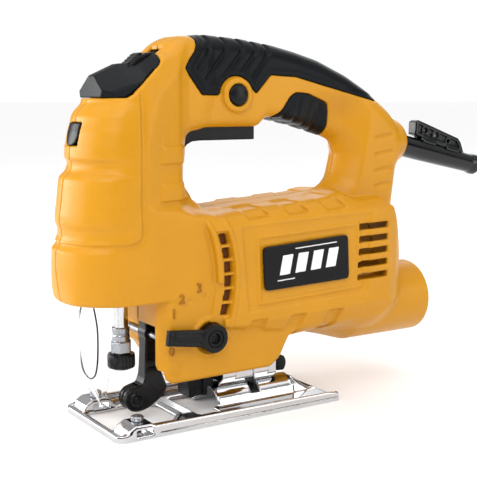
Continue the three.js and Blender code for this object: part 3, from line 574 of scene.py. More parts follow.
def finish_of(name, colour, rough, metal=0.0, spread=0.05, rough_spread=0.08, grain=0.00004,
              grain_size=1800.0, blotch=35.0, stretch=(1, 1, 1), glass=0.0, sheen=0.5,
              fleck=None):
    """A procedural surface: two scales of noise move its colour, gloss and height."""
    material = bpy.data.materials.new(name)
    material.use_nodes = True
    tree = material.node_tree
    shader = tree.nodes["Principled BSDF"]
    for socket, value in (("Metallic", metal), ("IOR", 1.1 if glass else 1.5),
                          ("Specular IOR Level", sheen), ("Transmission Weight", glass)):
        shader.inputs[socket].default_value = value
    link = tree.links.new
    where = tree.nodes.new("ShaderNodeTexCoord")
    mapped = tree.nodes.new("ShaderNodeMapping")
    mapped.inputs["Scale"].default_value = stretch
    link(where.outputs["Object"], mapped.inputs["Vector"])

    def noise(scale, detail):
        made = node(tree, "ShaderNodeTexNoise", Scale=scale, Detail=detail, Roughness=0.6)
        link(mapped.outputs["Vector"], made.inputs["Vector"])
        return made.outputs["Fac"]

    def ranged(value, start, end):
        made = node(tree, "ShaderNodeMapRange", From_Min=0.3, From_Max=0.7)
        made.inputs["To Min"].default_value = start
        made.inputs["To Max"].default_value = end
        link(value, made.inputs["Value"])
        return made.outputs["Result"]

    wide, fine = noise(blotch, 4.0), noise(grain_size, 3.0)
    mix = tree.nodes.new("ShaderNodeMix")
    mix.data_type = "RGBA"
    dark = [max(c * (1 - spread), 0) for c in colour] + [1]
    light = [min(c * (1 + spread), 1) for c in colour] + [1]
    mix.inputs["A"].default_value = dark
    mix.inputs["B"].default_value = light
    link(ranged(wide, 0, 1), mix.inputs["Factor"])
    tint = mix.outputs["Result"]
    if fleck:
        specks = tree.nodes.new("ShaderNodeMix")
        specks.data_type = "RGBA"
        specks.inputs["B"].default_value = [*fleck, 1]
        link(tint, specks.inputs["A"])
        dots = node(tree, "ShaderNodeMapRange", From_Min=0.62, From_Max=0.75)
        dots.inputs["To Max"].default_value = 0.5
        link(noise(grain_size * 0.25, 2.0), dots.inputs["Value"])
        link(dots.outputs["Result"], specks.inputs["Factor"])
        tint = specks.outputs["Result"]
    link(tint, shader.inputs["Base Color"])
    gloss = node(tree, "ShaderNodeMath", operation="ADD")
    link(ranged(wide, rough - rough_spread / 2, rough + rough_spread / 2), gloss.inputs[0])
    link(ranged(fine, -rough_spread / 3, rough_spread / 3), gloss.inputs[1])
    link(gloss.outputs[0], shader.inputs["Roughness"])
    relief = node(tree, "ShaderNodeBump", Strength=1.0, Distance=grain)
    link(fine, relief.inputs["Height"])
    link(relief.outputs["Normal"], shader.inputs["Normal"])
    return material


ROWS = {
    "yellow_shell": ((0.56, 0.248, 0.006), 0.36, dict(
        spread=0.04, grain=0.00003, sheen=0.27, fleck=(0.50, 0.2, 0.004))),
    "black_grip": ((0.003, 0.0045, 0.006), 0.36, dict(
        spread=0.25, grain=0.00008, grain_size=1300, sheen=0.12, fleck=(0.007, 0.009, 0.011))),
    "black_plastic": ((0.006, 0.006, 0.007), 0.28, dict(
        spread=0.2, grain=0.00005, sheen=0.18, fleck=(0.012, 0.012, 0.013))),
    # darker brown than the shell: painted shade that brings out the raised numbers
    "number_tops": ((0.34, 0.13, 0.004), 0.42, dict(spread=0.08, grain=0.00003, sheen=0.3)),
    "gloss_rubber": ((0.0022, 0.0027, 0.0032), 0.16, dict(
        spread=0.2, grain=0.00003, sheen=0.4, fleck=(0.005, 0.0055, 0.006))),
    "badge_face": ((0.005, 0.005, 0.006), 0.25, dict(spread=0.15, grain=0.00001, sheen=0.15)),
    "badge_mark": ((0.82, 0.82, 0.80), 0.35, dict(spread=0.03, grain=0.00001)),
    "clear_plastic": ((0.985, 0.99, 0.99), 0.04, dict(
        spread=0.01, rough_spread=0.03, grain=0.000008, sheen=0.3, glass=1.0)),
    "polished_steel": ((0.6, 0.6, 0.61), 0.1, dict(
        metal=1.0, spread=0.06, rough_spread=0.1, grain=0.000008, stretch=(0.25, 1, 1))),
    "machined_steel": ((0.33, 0.34, 0.36), 0.24, dict(
        metal=1.0, spread=0.14, rough_spread=0.14, grain=0.00001, stretch=(1, 1, 0.2))),
    "blackened_steel": ((0.006, 0.006, 0.0065), 0.26, dict(
        spread=0.25, rough_spread=0.16, grain=0.00003, sheen=0.22, fleck=(0.02, 0.02, 0.022))),
    "cast_alloy": ((0.42, 0.43, 0.44), 0.5, dict(
        metal=1.0, spread=0.15, grain=0.00012, grain_size=700)),
    "copper_winding": ((0.62, 0.26, 0.10), 0.35, dict(
        metal=1.0, spread=0.25, grain=0.0002, grain_size=900, stretch=(0.1, 1, 1))),
    "bronze": ((0.50, 0.33, 0.13), 0.38, dict(metal=1.0, spread=0.18, grain=0.00004)),
    "carbon": ((0.03, 0.03, 0.032), 0.6, dict(spread=0.3, grain=0.00006)),
    "laminate": ((0.22, 0.22, 0.24), 0.42, dict(
        metal=1.0, spread=0.25, grain=0.0002, grain_size=1000, stretch=(3, 0.2, 0.2))),
    # dark brown painted shade for the shadowed inside behind the vent windows
    "shaded_plastic": ((0.11, 0.032, 0.004), 0.5, dict(spread=0.2, grain=0.00006, sheen=0.2)),
    "inner_plastic": ((0.05, 0.05, 0.054), 0.5, dict(spread=0.25, grain=0.00006)),
}
FINISH = {name: finish_of(name, colour, rough, **more)
          for name, (colour, rough, more) in ROWS.items()}


def dressed(obj, body, slot, *nodes, look=None):
    """Gives a piece its surface and body, and hides the CAD nodes that it stands for."""
    obj.data.materials.clear()
    obj.data.materials.append(FINISH[look or slot])
    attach(obj, body)
    if nodes:
        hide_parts(*nodes)
    return obj


# ---- housing and soft skins
STEP = 0.75
g = Grid((-39, 217), (-2.3, 37), (25, 222), STEP)
body = body_field(g)
slots, arc, windows = vents(g)
grip = blurred(outline(GRIP, g.x, g.z), 0.6, g.step)
finger = blurred(outline(FINGER, g.x, g.z), 0.9, g.step)
ring = away(g.x - LOCK_X, g.z - LOCK_Z)
hub = away(g.x - LEVER_X, g.z - LEVER_Z)
cap_line = outline(CAP, g.x, g.z)
lock_ring = meet(meet(ring - 9.9, g.y - 20.2, 1.5), 9 - g.y)

hollow = within(body + WALL, 75.5 - g.z)
baffle = within(abs(g.x - vent_middle(g.z)) - 6, 26 - g.y, span(g.z, 56, 114))
hollow = within(hollow, -baffle)
shaft_bay = within(away(g.x, g.y) - 9.3, g.z - 90)
under_hood = within(span(g.x, -40, 26), span(g.z, 10, 57.5))
arm_bay = np.minimum(under_hood, within(span(g.x, 11.4, 26), span(g.z, 20, 70.5)))
left_bay = within(arm_bay, g.y - 20.5)
right_bay = within(arm_bay, g.y - 9.5)
nose_cut = [(-5, 57.5), (16, 57.5), (16, 43), (21, 40), (32, 24), (-5, 10)]
right_nose = within(outline(nose_cut, g.x, g.z), 0.5 - g.y)
side_rooms = within(span(g.x, 30, 86), span(g.y, 12, 25.5), span(g.z, 37, 66))
tilt_rooms = within(span(g.x, 0, 90), span(g.y, 14, 25.9), span(g.z, 10, 33))
port_bore = within(away(g.y, g.z - PORT_Z) - PORT_BORE, 158 - g.x)
trigger_bay = within(span(g.x, 30.2, 87), g.y - 9.2, span(g.z, 150, 183))
switch_room = within(span(g.x, 6.6, 25.4), g.y - 6.9, 193 - g.z)
window_room = within(span(g.x, -34, -15), g.y - 7.3, span(g.z, 158.5, 171))
badge_room = within(outline(BADGE, g.x, g.z) - 0.4, 32.0 - g.y)
tilt = radians(SLEEVE_DROP)
along = (g.x - SLEEVE_X) * cos(tilt) - (g.z - SLEEVE_Z) * sin(tilt)
across = (g.x - SLEEVE_X) * sin(tilt) + (g.z - SLEEVE_Z) * cos(tilt)
off_axis = away(across, g.y)
sleeve_room = np.minimum(within(off_axis - 7.2, -along),
                         within(off_axis - 9.2, span(along, -6, 3.6)))

shell = join(body, lock_ring, 0.8)
shell = meet(shell, SEAM - g.y, 0.7)
for room, radius in (
        (hollow, 0), (shaft_bay, 0.4), (side_rooms, 0.4), (tilt_rooms, 0.4), (port_bore, 0.4),
        (trigger_bay, 0.4), (switch_room, 0.4), (badge_room, 0.4), (sleeve_room, 0.4),
        (window_room, 0.6), (cap_line - 0.25, 0.5), (within(slots, 24 - g.y), 0.6),
        (within(arc, 31.6 - g.y), 0.5), (within(windows, 28 - g.y), 0.4)):
    shell = cut(shell, room, radius)
for region in (grip, finger):
    shell = cut(shell, within(region - 0.15, -(body + SKIN + 0.2)), 0.5)
hub_hole = within(hub - 8.4, BLOCK_HALF + 0.1 - g.y)
lock_hole = within(ring - 6.35, 10 - g.y)
arm_pin = within(away(g.x - ARM_X, g.z - ARM_Z) - 2.3, g.y - 22.4)
for name, mirror in (("left", True), ("right", False)):
    half = cut(shell, arm_pin)
    if mirror:
        half = cut(half, left_bay, 0.5)
        half = cut(half, hub_hole, 0.3)
        half = cut(half, lock_hole, 0.5)
        sweep = within(hub - 31.4, 30.9 - g.y, g.x - LEVER_X - 7.5)
        half = cut(half, within(sweep, LEVER_Z - g.z), 0.5)
        for x, z in ((20.8, 65.7), (28.5, 71.8), (38.5, 74.3)):
            dot = away(g.x - x, g.z - z)
            half = cut(half, within(dot - 0.9, 28.8 - g.y), 0.2)
    else:
        half = cut(cut(half, right_bay, 0.5), right_nose, 1.0)
        for x, z in SCREW_HOLES:
            hole = away(g.x - x, g.z - z)
            half = cut(half, within(hole - 3.9, -body - 1.5, 8 - g.y), 0.4)
    dressed(moulded(f"{name}_shell", half, g, mirror, KEEP), "housing", "yellow_shell",
            f"{name}_housing")

soft = Grid((32, 182), (-1.4, 22), (155, 221), 0.5)
cover = body_field(soft)
grip_region = blurred(outline(GRIP, soft.x, soft.z), 0.6, soft.step)
border = step_up(-grip_region, 2.4, 4.4)
outer = cover - 0.25 + grip_lines(soft) * border
outer = outer + 0.35 * (1 - border)
grip_skin = meet(outer, SEAM - soft.y, 0.7)
grip_skin = cut(meet(grip_skin, grip_region + 0.1, 0.8), cover + SKIN)
finger_region = blurred(outline(FINGER, soft.x, soft.z), 0.9, soft.step)
ribs = np.float32(0)
for x in (100, 109, 118, 127):
    ribs = np.maximum(ribs, bump(track([(x - 1, 150), (x + 3.5, 190)], soft.x, soft.z), 2.4))
outer = cover - 0.2 + 0.5 * ribs * step_up(-finger_region, 1.5, 3.5)
finger_skin = meet(outer, SEAM - soft.y, 0.7)
finger_skin = cut(meet(finger_skin, finger_region + 0.1, 0.8), cover + SKIN)
for name, mirror in (("left", True), ("right", False)):
    dressed(moulded(f"{name}_grip_skin", grip_skin, soft, mirror, KEEP), "housing", "black_grip",
            f"{name}_handle_grip")
    dressed(moulded(f"{name}_finger_skin", finger_skin, soft, mirror, KEEP), "housing",
            "black_grip", f"{name}_finger_grip")


# ---- small moulded pieces
def bumper():
    """The rear bumper of the CAD with its edges rounded."""
    mesh = frame["nodes"]["rear_bumper"].data.copy()
    mesh.name = "bumper_block"
    obj = linked(mesh.name, mesh)
    weld = obj.modifiers.new("weld", "WELD")
    weld.merge_threshold = 1e-6
    flat = obj.modifiers.new("flat", "DECIMATE")
    flat.decimate_type = "DISSOLVE"
    flat.angle_limit = radians(2)
    edge = obj.modifiers.new("edge", "BEVEL")
    edge.width = 0.0008
    edge.segments = 3
    edge.angle_limit = radians(25)
    edge.harden_normals = False
    baked(obj)
    obj.data.polygons.foreach_set("use_smooth", np.ones(len(obj.data.polygons), bool))
    obj.data.set_sharp_from_angle(angle=radians(32))
    dressed(obj, "housing", "black_plastic", "rear_bumper")


def cap_piece():
    """The dark faceted nose cap, open on top for the lamp button."""
    s = Grid((-18.5, 24), (-29, 29), (182, 213), 0.45)
    out = abs(s.y)
    top = level(s.x, (-16, -1, 8, 20, 27), (195.6, 202.3, 203.4, 209.6, 213))
    slope = level(s.x, (-16, 0, 8, 20), (0.70, 0.62, 0.45, 0.1))
    roof = (s.z - top + slope * np.maximum(out - 3.5, 0)) / np.sqrt(1.2 + slope ** 2)
    face = -16.2 + 0.07 * (s.z - 184) - s.x
    broad = level(s.z, (184, 190, 196), (14.2, 16.2, 12.6))
    corner = (out - broad - 1.13 * (s.x + 15.2)) / 1.51
    cheek = (out - 22.5 - 0.38 * (s.x + 4.4) + 0.3 * (s.z - 184)) / 1.1
    side = out - level(s.z, (184, 200, 213), (26.4, 22.5, 17.5))
    piece = meet(meet(meet(face, corner, 0.5), meet(cheek, side, 0.5), 0.4), roof, 0.5)
    rim = outline(CAP, s.x, s.z)
    piece = meet(piece, rim, 0.5)
    room = within(span(s.x, 3.4, 24), out - 6.9, 198 - s.z)
    piece = cut(piece, room, 0.4)
    hollow = within(piece + 2.4, span(s.x, -12, 16), out - 20)
    piece = cut(piece, hollow)
    dressed(moulded("cap_piece", piece, s, keep=KEEP), "housing", "black_grip", "front_cap")


def lamp_button():
    s = Grid((1.5, 25), (-7.2, 7.2), (196, 212), 0.35)
    shape = [(5.4, 197), (5.2, 201.6), (6.2, 202.6), (10.4, 206.3), (15, 208.3), (19, 209),
             (22.8, 209.4), (22.8, 197)]
    piece = meet(outline(shape, s.x, s.z), abs(s.y) - 6.2, 0.7)
    for i in range(4):
        x = 6.7 + 1.7 * i
        line = track([(x - 1, 202.9 + 1.45 * i), (x + 1, 203.9 + 1.45 * i)], s.x, s.z)
        ridge = within(line - 0.55, abs(s.y) - 4.6)
        piece = join(piece, ridge, 0.2)
    dressed(moulded("light_button", piece, s), "light_switch", "black_plastic", "light_switch")


def nose_window():
    s = Grid((-31, -14), (-10, 10), (156.5, 171.8), 0.35)
    shape = [(-7, 170.7), (-7, 163.5), (-5.6, 160.4), (-3, 158.8), (3, 158.8), (5.6, 160.4),
             (7, 163.5), (7, 170.7)]
    front = level(s.z, *zip(*NOSE)) - 1.7
    piece = meet(outline(shape, s.y, s.z), front + s.y ** 2 * 0.0166 - s.x, 0.5)
    piece = within(piece, s.x + 17)
    dressed(moulded("nose_window", piece, s), "housing", "black_plastic", "front_window")


def vent_painted_shade(side):
    """A dark brown strip behind the curved row of windows, painted shade that stands in for the
    shadowed yellow inside.
    """
    s = Grid((42, 60), (27.6, 29.4), (59, 111.5), 0.35)
    strip = within(abs(s.x - vent_middle(s.z)) - 3.6, span(s.z, 60.4, 110))
    strip = within(strip, abs(s.y - 28.4) - 0.35)
    # the strip's dark brown colour is painted shade
    dressed(moulded(f"{side}_vent_shade", strip, s, side == "left", keep=0.5), "housing",
            "inner_plastic", look="shaded_plastic")


cap_piece()
lamp_button()
nose_window()
for side in ("left", "right"):
    vent_painted_shade(side)


def trigger_piece():
    s = Grid((29, 87), (-9.2, 9.2), (150.5, 178), 0.4)
    shape = [(34, 153.6), (34.6, 152.4), (36.4, 152.4), (37.4, 155), (39.6, 157.6),
             (43, 159.3), (48, 159.7), (85.2, 159.7), (85.2, 169.5), (82, 176), (34, 176)]
    piece = meet(outline(shape, s.x, s.z), abs(s.y) - 8.5, 1.0)
    room = within(span(s.x, 54, 80), abs(s.y) - 6.8, 165 - s.z)
    piece = cut(piece, room)
    dressed(moulded("trigger_piece", piece, s, keep=KEEP), "trigger", "black_plastic", "trigger")


trigger_piece()


def lever_piece():
    s = Grid((8, 52), (-36.4, -28.4), (38, 62), 0.32)
    rise = radians(LEVER_RISE)
    along = -(s.x - LEVER_X) * cos(rise) + (s.z - LEVER_Z) * sin(rise)
    across = (s.x - LEVER_X) * sin(rise) + (s.z - LEVER_Z) * cos(rise)
    hub = away(along, across)
    out = -s.y
    knob = meet(hub - 8.2, abs(out - 32.2) - 3.4, 0.9)
    width = level(along, (0, LEVER_REACH), (5.1, 4.3))
    arm = meet(within(abs(across) - width, span(along, 0, LEVER_REACH)),
               abs(out - 33.1) - 1.9, 0.9)
    piece = join(knob, arm, 0.8)
    piece = cut(piece, within(hub - 5.2, 34.7 - out), 0.4)
    piece = join(piece, meet(hub - 4.4, abs(out - 33) - 2.5, 0.4), 0.2)
    ridges = bump(across - 2.4, 0.9) + bump(across + 2.4, 0.9) + bump(along - 26.5, 0.9)
    face = step_up(out, 33.5, 34.6) * step_up(along, 8.5, 10) * (1 - step_up(along, 27, 28))
    piece = piece + 0.45 * np.minimum(ridges, 1) * face
    piece = cut(piece, within(hub - 3.1, 33.4 - out), 0.2)
    dressed(moulded("lever_knob", piece, s), "lever", "black_plastic", "pendulum_lever")


lever_piece()


def screw_head(name, x, z, face, sign, radius, body_name, *nodes, look=None):
    """A recessed round screw head that looks out along Y."""
    s = Grid((x - radius - 1, x + radius + 1), (-2.4, 1.4), (z - radius - 1, z + radius + 1), 0.2)
    reach = away(s.x - x, s.z - z)
    dome = reach ** 2 / (radius * 5)
    head = meet(reach - radius, s.y + dome - 0.6, 0.3)
    head = within(head, -1.6 - s.y)
    angle = np.arctan2(s.z - z, s.x - x)
    star = reach - radius * (0.46 + 0.09 * np.cos(6 * angle))
    head = cut(head, within(star, -1.0 - s.y), 0.1)
    points, faces = skin_of(head, s)
    points[:, 1] = points[:, 1] * sign + face
    if sign < 0:
        faces = faces[:, ::-1].copy()
    dressed(add_mesh(name, points, faces), body_name, "machined_steel", *nodes, look=look)


screw_head("lever_screw_head", LEVER_X, LEVER_Z, -33.6, -1, 2.9, "lever", "lever_screw",
           look="blackened_steel")


def side_at(shell_name, x, z, sign):
    """How far out, in millimetres along Y, the side of a shell lies."""
    shell_tree = BVHTree.FromObject(bpy.data.objects[shell_name],
                                    bpy.context.evaluated_depsgraph_get())
    start = Vector((PLUNGER_X + x / 1000, 0.1 * sign, z / 1000))
    return shell_tree.ray_cast(start, Vector((0, -sign, 0)))[0].y * 1000


for i, (x, z) in enumerate(SCREW_HOLES):
    screw_head(f"right_screw_head_{i + 1}", x, z, side_at("right_shell", x, z, 1) + 0.6, 1, 3.1,
               "housing", look="blackened_steel")


def lock_piece():
    profile = [(0.01, -21.2), (4.6, -21.2), (5.5, -20.8), (6.0, -20.1), (6.0, -12.6), (7.4, -12.6),
               (7.4, -11.6), (0.01, -11.6)]
    dressed(lathe("lock_knob", profile, "y", (LOCK_X, 0, LOCK_Z)), "lock_button",
            "black_plastic", "lock_button")


lock_piece()


def badge(side):
    s = Grid((70, 142), (31.6, 34.6), (70, 106), 0.35)
    plate = meet(blurred(outline(BADGE, s.x, s.z), 1.3, s.step), abs(s.y - 33.2) - 0.75, 0.25)
    dressed(moulded(f"{side}_badge_plate", plate, s, side == "left"), "housing", "badge_face",
            f"{side}_badge")
    marks = [[(84.5, 78.2), (97, 78.8), (97, 79.5), (84.5, 78.9)],
             [(97, 96.3), (128, 97.9), (128, 98.6), (97, 97.0)]]
    for i in range(4):
        x = 86 + 11.2 * i
        marks.append([(x, 81.6 + 0.05 * (x - 86)), (x + 7.4, 82 + 0.05 * (x - 86)),
                      (x + 9.8, 93.6 + 0.05 * (x - 86)), (x + 2.4, 93.2 + 0.05 * (x - 86))])
    shape = np.float32(1e9)
    for points in marks:
        if side == "right":
            points = [(212.6 - x, z) for x, z in points]
        shape = np.minimum(shape, outline(points, s.x, s.z))
    ink = within(shape, abs(s.y - 33.98) - 0.36)
    dressed(moulded(f"{side}_badge_marks", ink, s, side == "left"), "housing", "badge_face",
            look="badge_mark")


for side in ("left", "right"):
    badge(side)


def dial_numbers():
    """Raised numbers beside the dots that the lever points to, coloured a darker brown than the
    shell as painted shade.
    """
    places = (("0", 17.2, 44.4), ("1", 18.4, 65.6), ("2", 23.4, 73.4), ("3", 34.4, 78.6))
    for mark, x, z in places:
        text = bpy.data.curves.new(f"dial_{mark}", "FONT")
        text.body = mark
        text.size = 0.0076
        text.extrude = 0.0006
        text.bevel_depth = 0.00012
        text.align_x, text.align_y = "CENTER", "CENTER"
        obj = linked(f"dial_{mark}", text)
        at = PLUNGER_X + x / 1000
        obj.location = (at, side_at("left_shell", x, z, -1) / 1000, z / 1000)
        obj.rotation_euler = (radians(90), 0, 0)
        bpy.context.view_layer.update()
        mesh = bpy.data.meshes.new_from_object(
            obj.evaluated_get(bpy.context.evaluated_depsgraph_get()))
        mesh.transform(obj.matrix_world)
        made = linked(f"dial_number_{mark}", mesh)
        bpy.data.objects.remove(obj)
        # the numbers' darker brown is painted shade
        dressed(made, "housing", "yellow_shell", look="number_tops")


dial_numbers()


# ---- cord sleeve and key holder
def along_sleeve(name, profile, sides=56):
    """A turned piece on the sleeve's slanting axis."""
    obj = lathe(name, profile, "x", (0, 0, 0), sides)
    turn = radians(SLEEVE_DROP)
    co = np.empty(len(obj.data.vertices) * 3, np.float32)
    obj.data.vertices.foreach_get("co", co)
    co = co.reshape(-1, 3)
    x, z = co[:, 0] - PLUNGER_X, co[:, 2].copy()
    co[:, 0] = x * cos(turn) + z * sin(turn) + PLUNGER_X + SLEEVE_X / 1000
    co[:, 2] = -x * sin(turn) + z * cos(turn) + SLEEVE_Z / 1000
    obj.data.vertices.foreach_set("co", co.ravel())
    obj.data.update()
    return obj


bore, end = 3.6, SLEEVE_LENGTH
dressed(along_sleeve("cord_sleeve", [
    (bore, 0), (8.6, 0), (8.6, 3), (7.1, 3.4), (7.1, 13), (7.5, 14.5), (7.2, 16.5), (7.1, 30),
    (6.2, 78), (6.3, 79.6), (6.8, 81), (7.0, 82.4), (7.0, end - 0.9), (6.4, end),
    (bore + 0.4, end), (bore, end - 0.4),
]), "housing", "black_grip", "strain_relief", look="gloss_rubber")


def key_holder():
    s = Grid((214, 266), (-5.2, 5.2), (138, 173), 0.35)
    turn = radians(SLEEVE_DROP)
    across = (s.x - SLEEVE_X) * sin(turn) + (s.z - SLEEVE_Z) * cos(turn)
    along = (s.x - SLEEVE_X) * cos(turn) - (s.z - SLEEVE_Z) * sin(turn)
    fin_shape = [(217.2, 160), (217.4, 168), (219.5, 169.2), (256, 156.4), (258.6, 153.6),
                 (261.6, 146.5), (240, 151.5)]
    fin = meet(outline(fin_shape, s.x, s.z) - 0.2, abs(s.y) - 3.9, 0.8)
    pocket = outline([(219.6, 161.2), (219.9, 166.6), (255, 154.4), (257.8, 149.6)], s.x, s.z)
    fin = cut(fin, within(pocket, 2.2 - abs(s.y)), 0.4)
    for x, z, r in ((226, 162.4, 3.3), (235.5, 159.2, 3.4), (247, 154.9, 2.6)):
        reach = away(s.x - x, s.z - z)
        fin = join(fin, meet(reach - r, abs(s.y) - 3.7, 0.4), 0.3)
    fin = cut(fin, away(s.x - 226, s.z - 162.4) - 1.9, 0.3)
    fin = cut(fin, within(span(s.x, 233.6, 237.6), span(s.z, 157.6, 160.8)), 0.3)
    fin = cut(fin, away(s.x - 247, s.z - 154.9) - 1.3, 0.3)
    radius = away(across, s.y)
    sleeve_size = level(along, (0, 30, 78), (7.2, 7.2, 6.3))
    for start in (30, 52):
        clip = within(span(radius, sleeve_size + 0.1, sleeve_size + 1.9),
                      span(along, start, start + 12))
        clip = within(clip, -across - 1)
        fin = join(fin, clip, 0.8)
    fin = cut(fin, radius - sleeve_size - 0.1)
    dressed(moulded("key_holder", fin, s, keep=0.7), "housing", "black_plastic",
            "hex_key_holder", look="gloss_rubber")


key_holder()


# ---- plunger, clamp, roller
dressed(lathe("plunger_bar", [(0.01, 42), (3.7, 42), (4.15, 42.5), (4.15, 166), (0.01, 166)],
              "z", (0, 0, 0), 48), "plunger", "machined_steel", look="polished_steel")


def clamp_pieces():
    s = Grid((-9, 9), (-9, 9), (30.2, 56.6), 0.3)
    reach = away(s.x, s.y)
    hexagon = np.float32(-1e9)
    for i in range(6):
        a = radians(60 * i + 30)
        hexagon = within(hexagon, s.x * cos(a) + s.y * sin(a) - 5.55)
    nut = meet(within(hexagon, reach - 6.35), span(s.z, 40.6, 47.4), 0.4)
    neck = meet(reach - 5.1, span(s.z, 31, 55.5), 0.4)
    body = join(nut, neck, 0.3)
    body = body + 0.35 * bump(s.z - 51.5, 0.9)
    body = cut(body, within(span(s.x, -5.4, 4), abs(s.y) - 0.8, s.z - 40), 0.1)
    body = cut(body, within(reach - 4.3, 41.2 - s.z))
    dressed(moulded("clamp_nut", body, s), "plunger", "machined_steel", "blade_clamp_body")
    angle = np.arctan2(s.y, s.x)
    ribs = 0.3 * np.cos(22 * angle) * (1 - step_up(abs(s.z - 36), 2.8, 3.3))
    collar = meet(reach - 7.7 - ribs, span(s.z, 32, 40.3), 0.7)
    collar = cut(collar, reach - 5.5, 0.3)
    dressed(moulded("clamp_ring", collar, s), "clamp_collar", "blackened_steel",
            "blade_clamp_collar")


clamp_pieces()


def roller_arm():
    s = Grid((-1.5, 28.5), (-6.4, 6.4), (3.6, 71), 0.35)
    shape = [
        (17, 68), (13.8, 65), (13.4, 40), (12.6, 25), (11, 20.8), (7.2, 20), (3.4, 18.9),
        (0.6, 16), (-0.1, 12.6), (1, 8.8), (3.6, 6.1), (7.2, 5.2), (11, 5.4), (15.5, 6.8),
        (22.7, 11.2), (26.2, 15.3), (26.6, 19), (23.6, 26), (23.2, 32), (23.2, 65), (20, 68),
    ]
    half = level(s.z, (7, 24, 30, 71), (5.0, 5.0, 4.4, 4.4))
    arm = meet(blurred(outline(shape, s.x, s.z), 0.8, s.step), abs(s.y) - half, 0.7)
    reach = away(s.x - ROLLER_X, s.z - ROLLER_Z)
    gap = within(reach - ROLLER_R - 0.9, abs(s.y) - 3.3)
    arm = cut(arm, gap, 0.2)
    arm = cut(arm, within(span(s.x, -10, ROLLER_X), abs(s.y) - 3.3, span(s.z, 2, 30)), 0.2)
    arm = join(arm, within(meet(reach - 3.9, abs(s.y) - 5.7, 0.4), 3.3 - abs(s.y)), 0.3)
    arm = cut(arm, reach - 2.25, 0.2)
    flank = outline([(15.4, 30), (21.3, 30), (21.4, 62), (15.6, 62)], s.x, s.z)
    arm = cut(arm, within(flank, 3.4 - abs(s.y)), 0.5)
    for z in (33.5, 49):
        rib = within(abs(s.z - z) - 1.2, span(s.x, 14.4, 22))
        arm = join(arm, within(rib, abs(s.y) - 4.3), 0.4)
    pivot = away(s.x - ARM_X, s.z - ARM_Z)
    arm = join(arm, meet(pivot - 3.8, abs(s.y) - 4.6, 0.4), 0.3)
    arm = cut(arm, pivot - 2.25, 0.2)
    dressed(moulded("swing_arm", arm, s), "roller_arm", "blackened_steel", "roller_arm")
    dressed(lathe("roller_wheel", [
        (2.3, -2.9), (ROLLER_R - 0.4, -2.9), (ROLLER_R, -2.5), (ROLLER_R, -1.1),
        (ROLLER_R - 1, -0.5), (ROLLER_R - 1, 0.5), (ROLLER_R, 1.1), (ROLLER_R, 2.5),
        (ROLLER_R - 0.4, 2.9), (2.3, 2.9),
    ], "y", (ROLLER_X, 0, ROLLER_Z)), "guide_roller", "machined_steel", "guide_roller",
            look="blackened_steel")
    dressed(lathe("roller_pin", [
        (0.01, -6.3), (1.6, -6.3), (2.0, -5.9), (2.0, 5.9), (1.6, 6.3), (0.01, 6.3),
    ], "y", (ROLLER_X, 0, ROLLER_Z), 32), "roller_arm", "machined_steel", "guide_roller_pin",
            look="blackened_steel")


roller_arm()

# ---- wire guard and shield
wire = spline([(-20, y, z) for y, z in (
    (-7, 75), (-7, 71.5), (-9.6, 66), (-12, 59), (-12.4, 50), (-11.4, 40), (-7.8, 31.6), (0, 28),
    (7.8, 31.6), (11.4, 40), (12.4, 50), (12, 59), (9.6, 66), (7, 71.5), (7, 75))], 8)
dressed(swept("guard_wire", wire, 0.5), "housing", "polished_steel", "wire_guard",
        look="blackened_steel")


def shield():
    levels = np.linspace(0, 1, 60)
    angles = np.radians(np.linspace(112, 248, 49))
    points, faces = [], []
    count = len(angles)
    for t in levels:
        z = 12 + 60.7 * t
        size = 0.2 + 0.8 * step_up(z, 8, 36)
        broad = size * (1 + 0.2 * size ** 3)
        for radius in (16.8, 15.6):
            for a in angles:
                points.append((radius * size * cos(a) - 10, radius * broad * sin(a), z))
    for i in range(len(levels) - 1):
        a, b = i * 2 * count, (i + 1) * 2 * count
        for j in range(count - 1):
            faces.append([a + j, b + j, b + j + 1, a + j + 1])
            faces.append([a + count + j + 1, b + count + j + 1, b + count + j, a + count + j])
        faces.append([a, a + count, b + count, b])
        faces.append([a + 2 * count - 1, a + count - 1, b + count - 1, b + 2 * count - 1])
    last = (len(levels) - 1) * 2 * count
    for j in range(count - 1):
        faces.append([j + 1, count + j + 1, count + j, j])
        faces.append([last + j, last + count + j, last + count + j + 1, last + j + 1])
    obj = add_mesh("clear_guard", points, faces, 45)
    dressed(obj, "housing", "clear_plastic", "clear_shield")


shield()


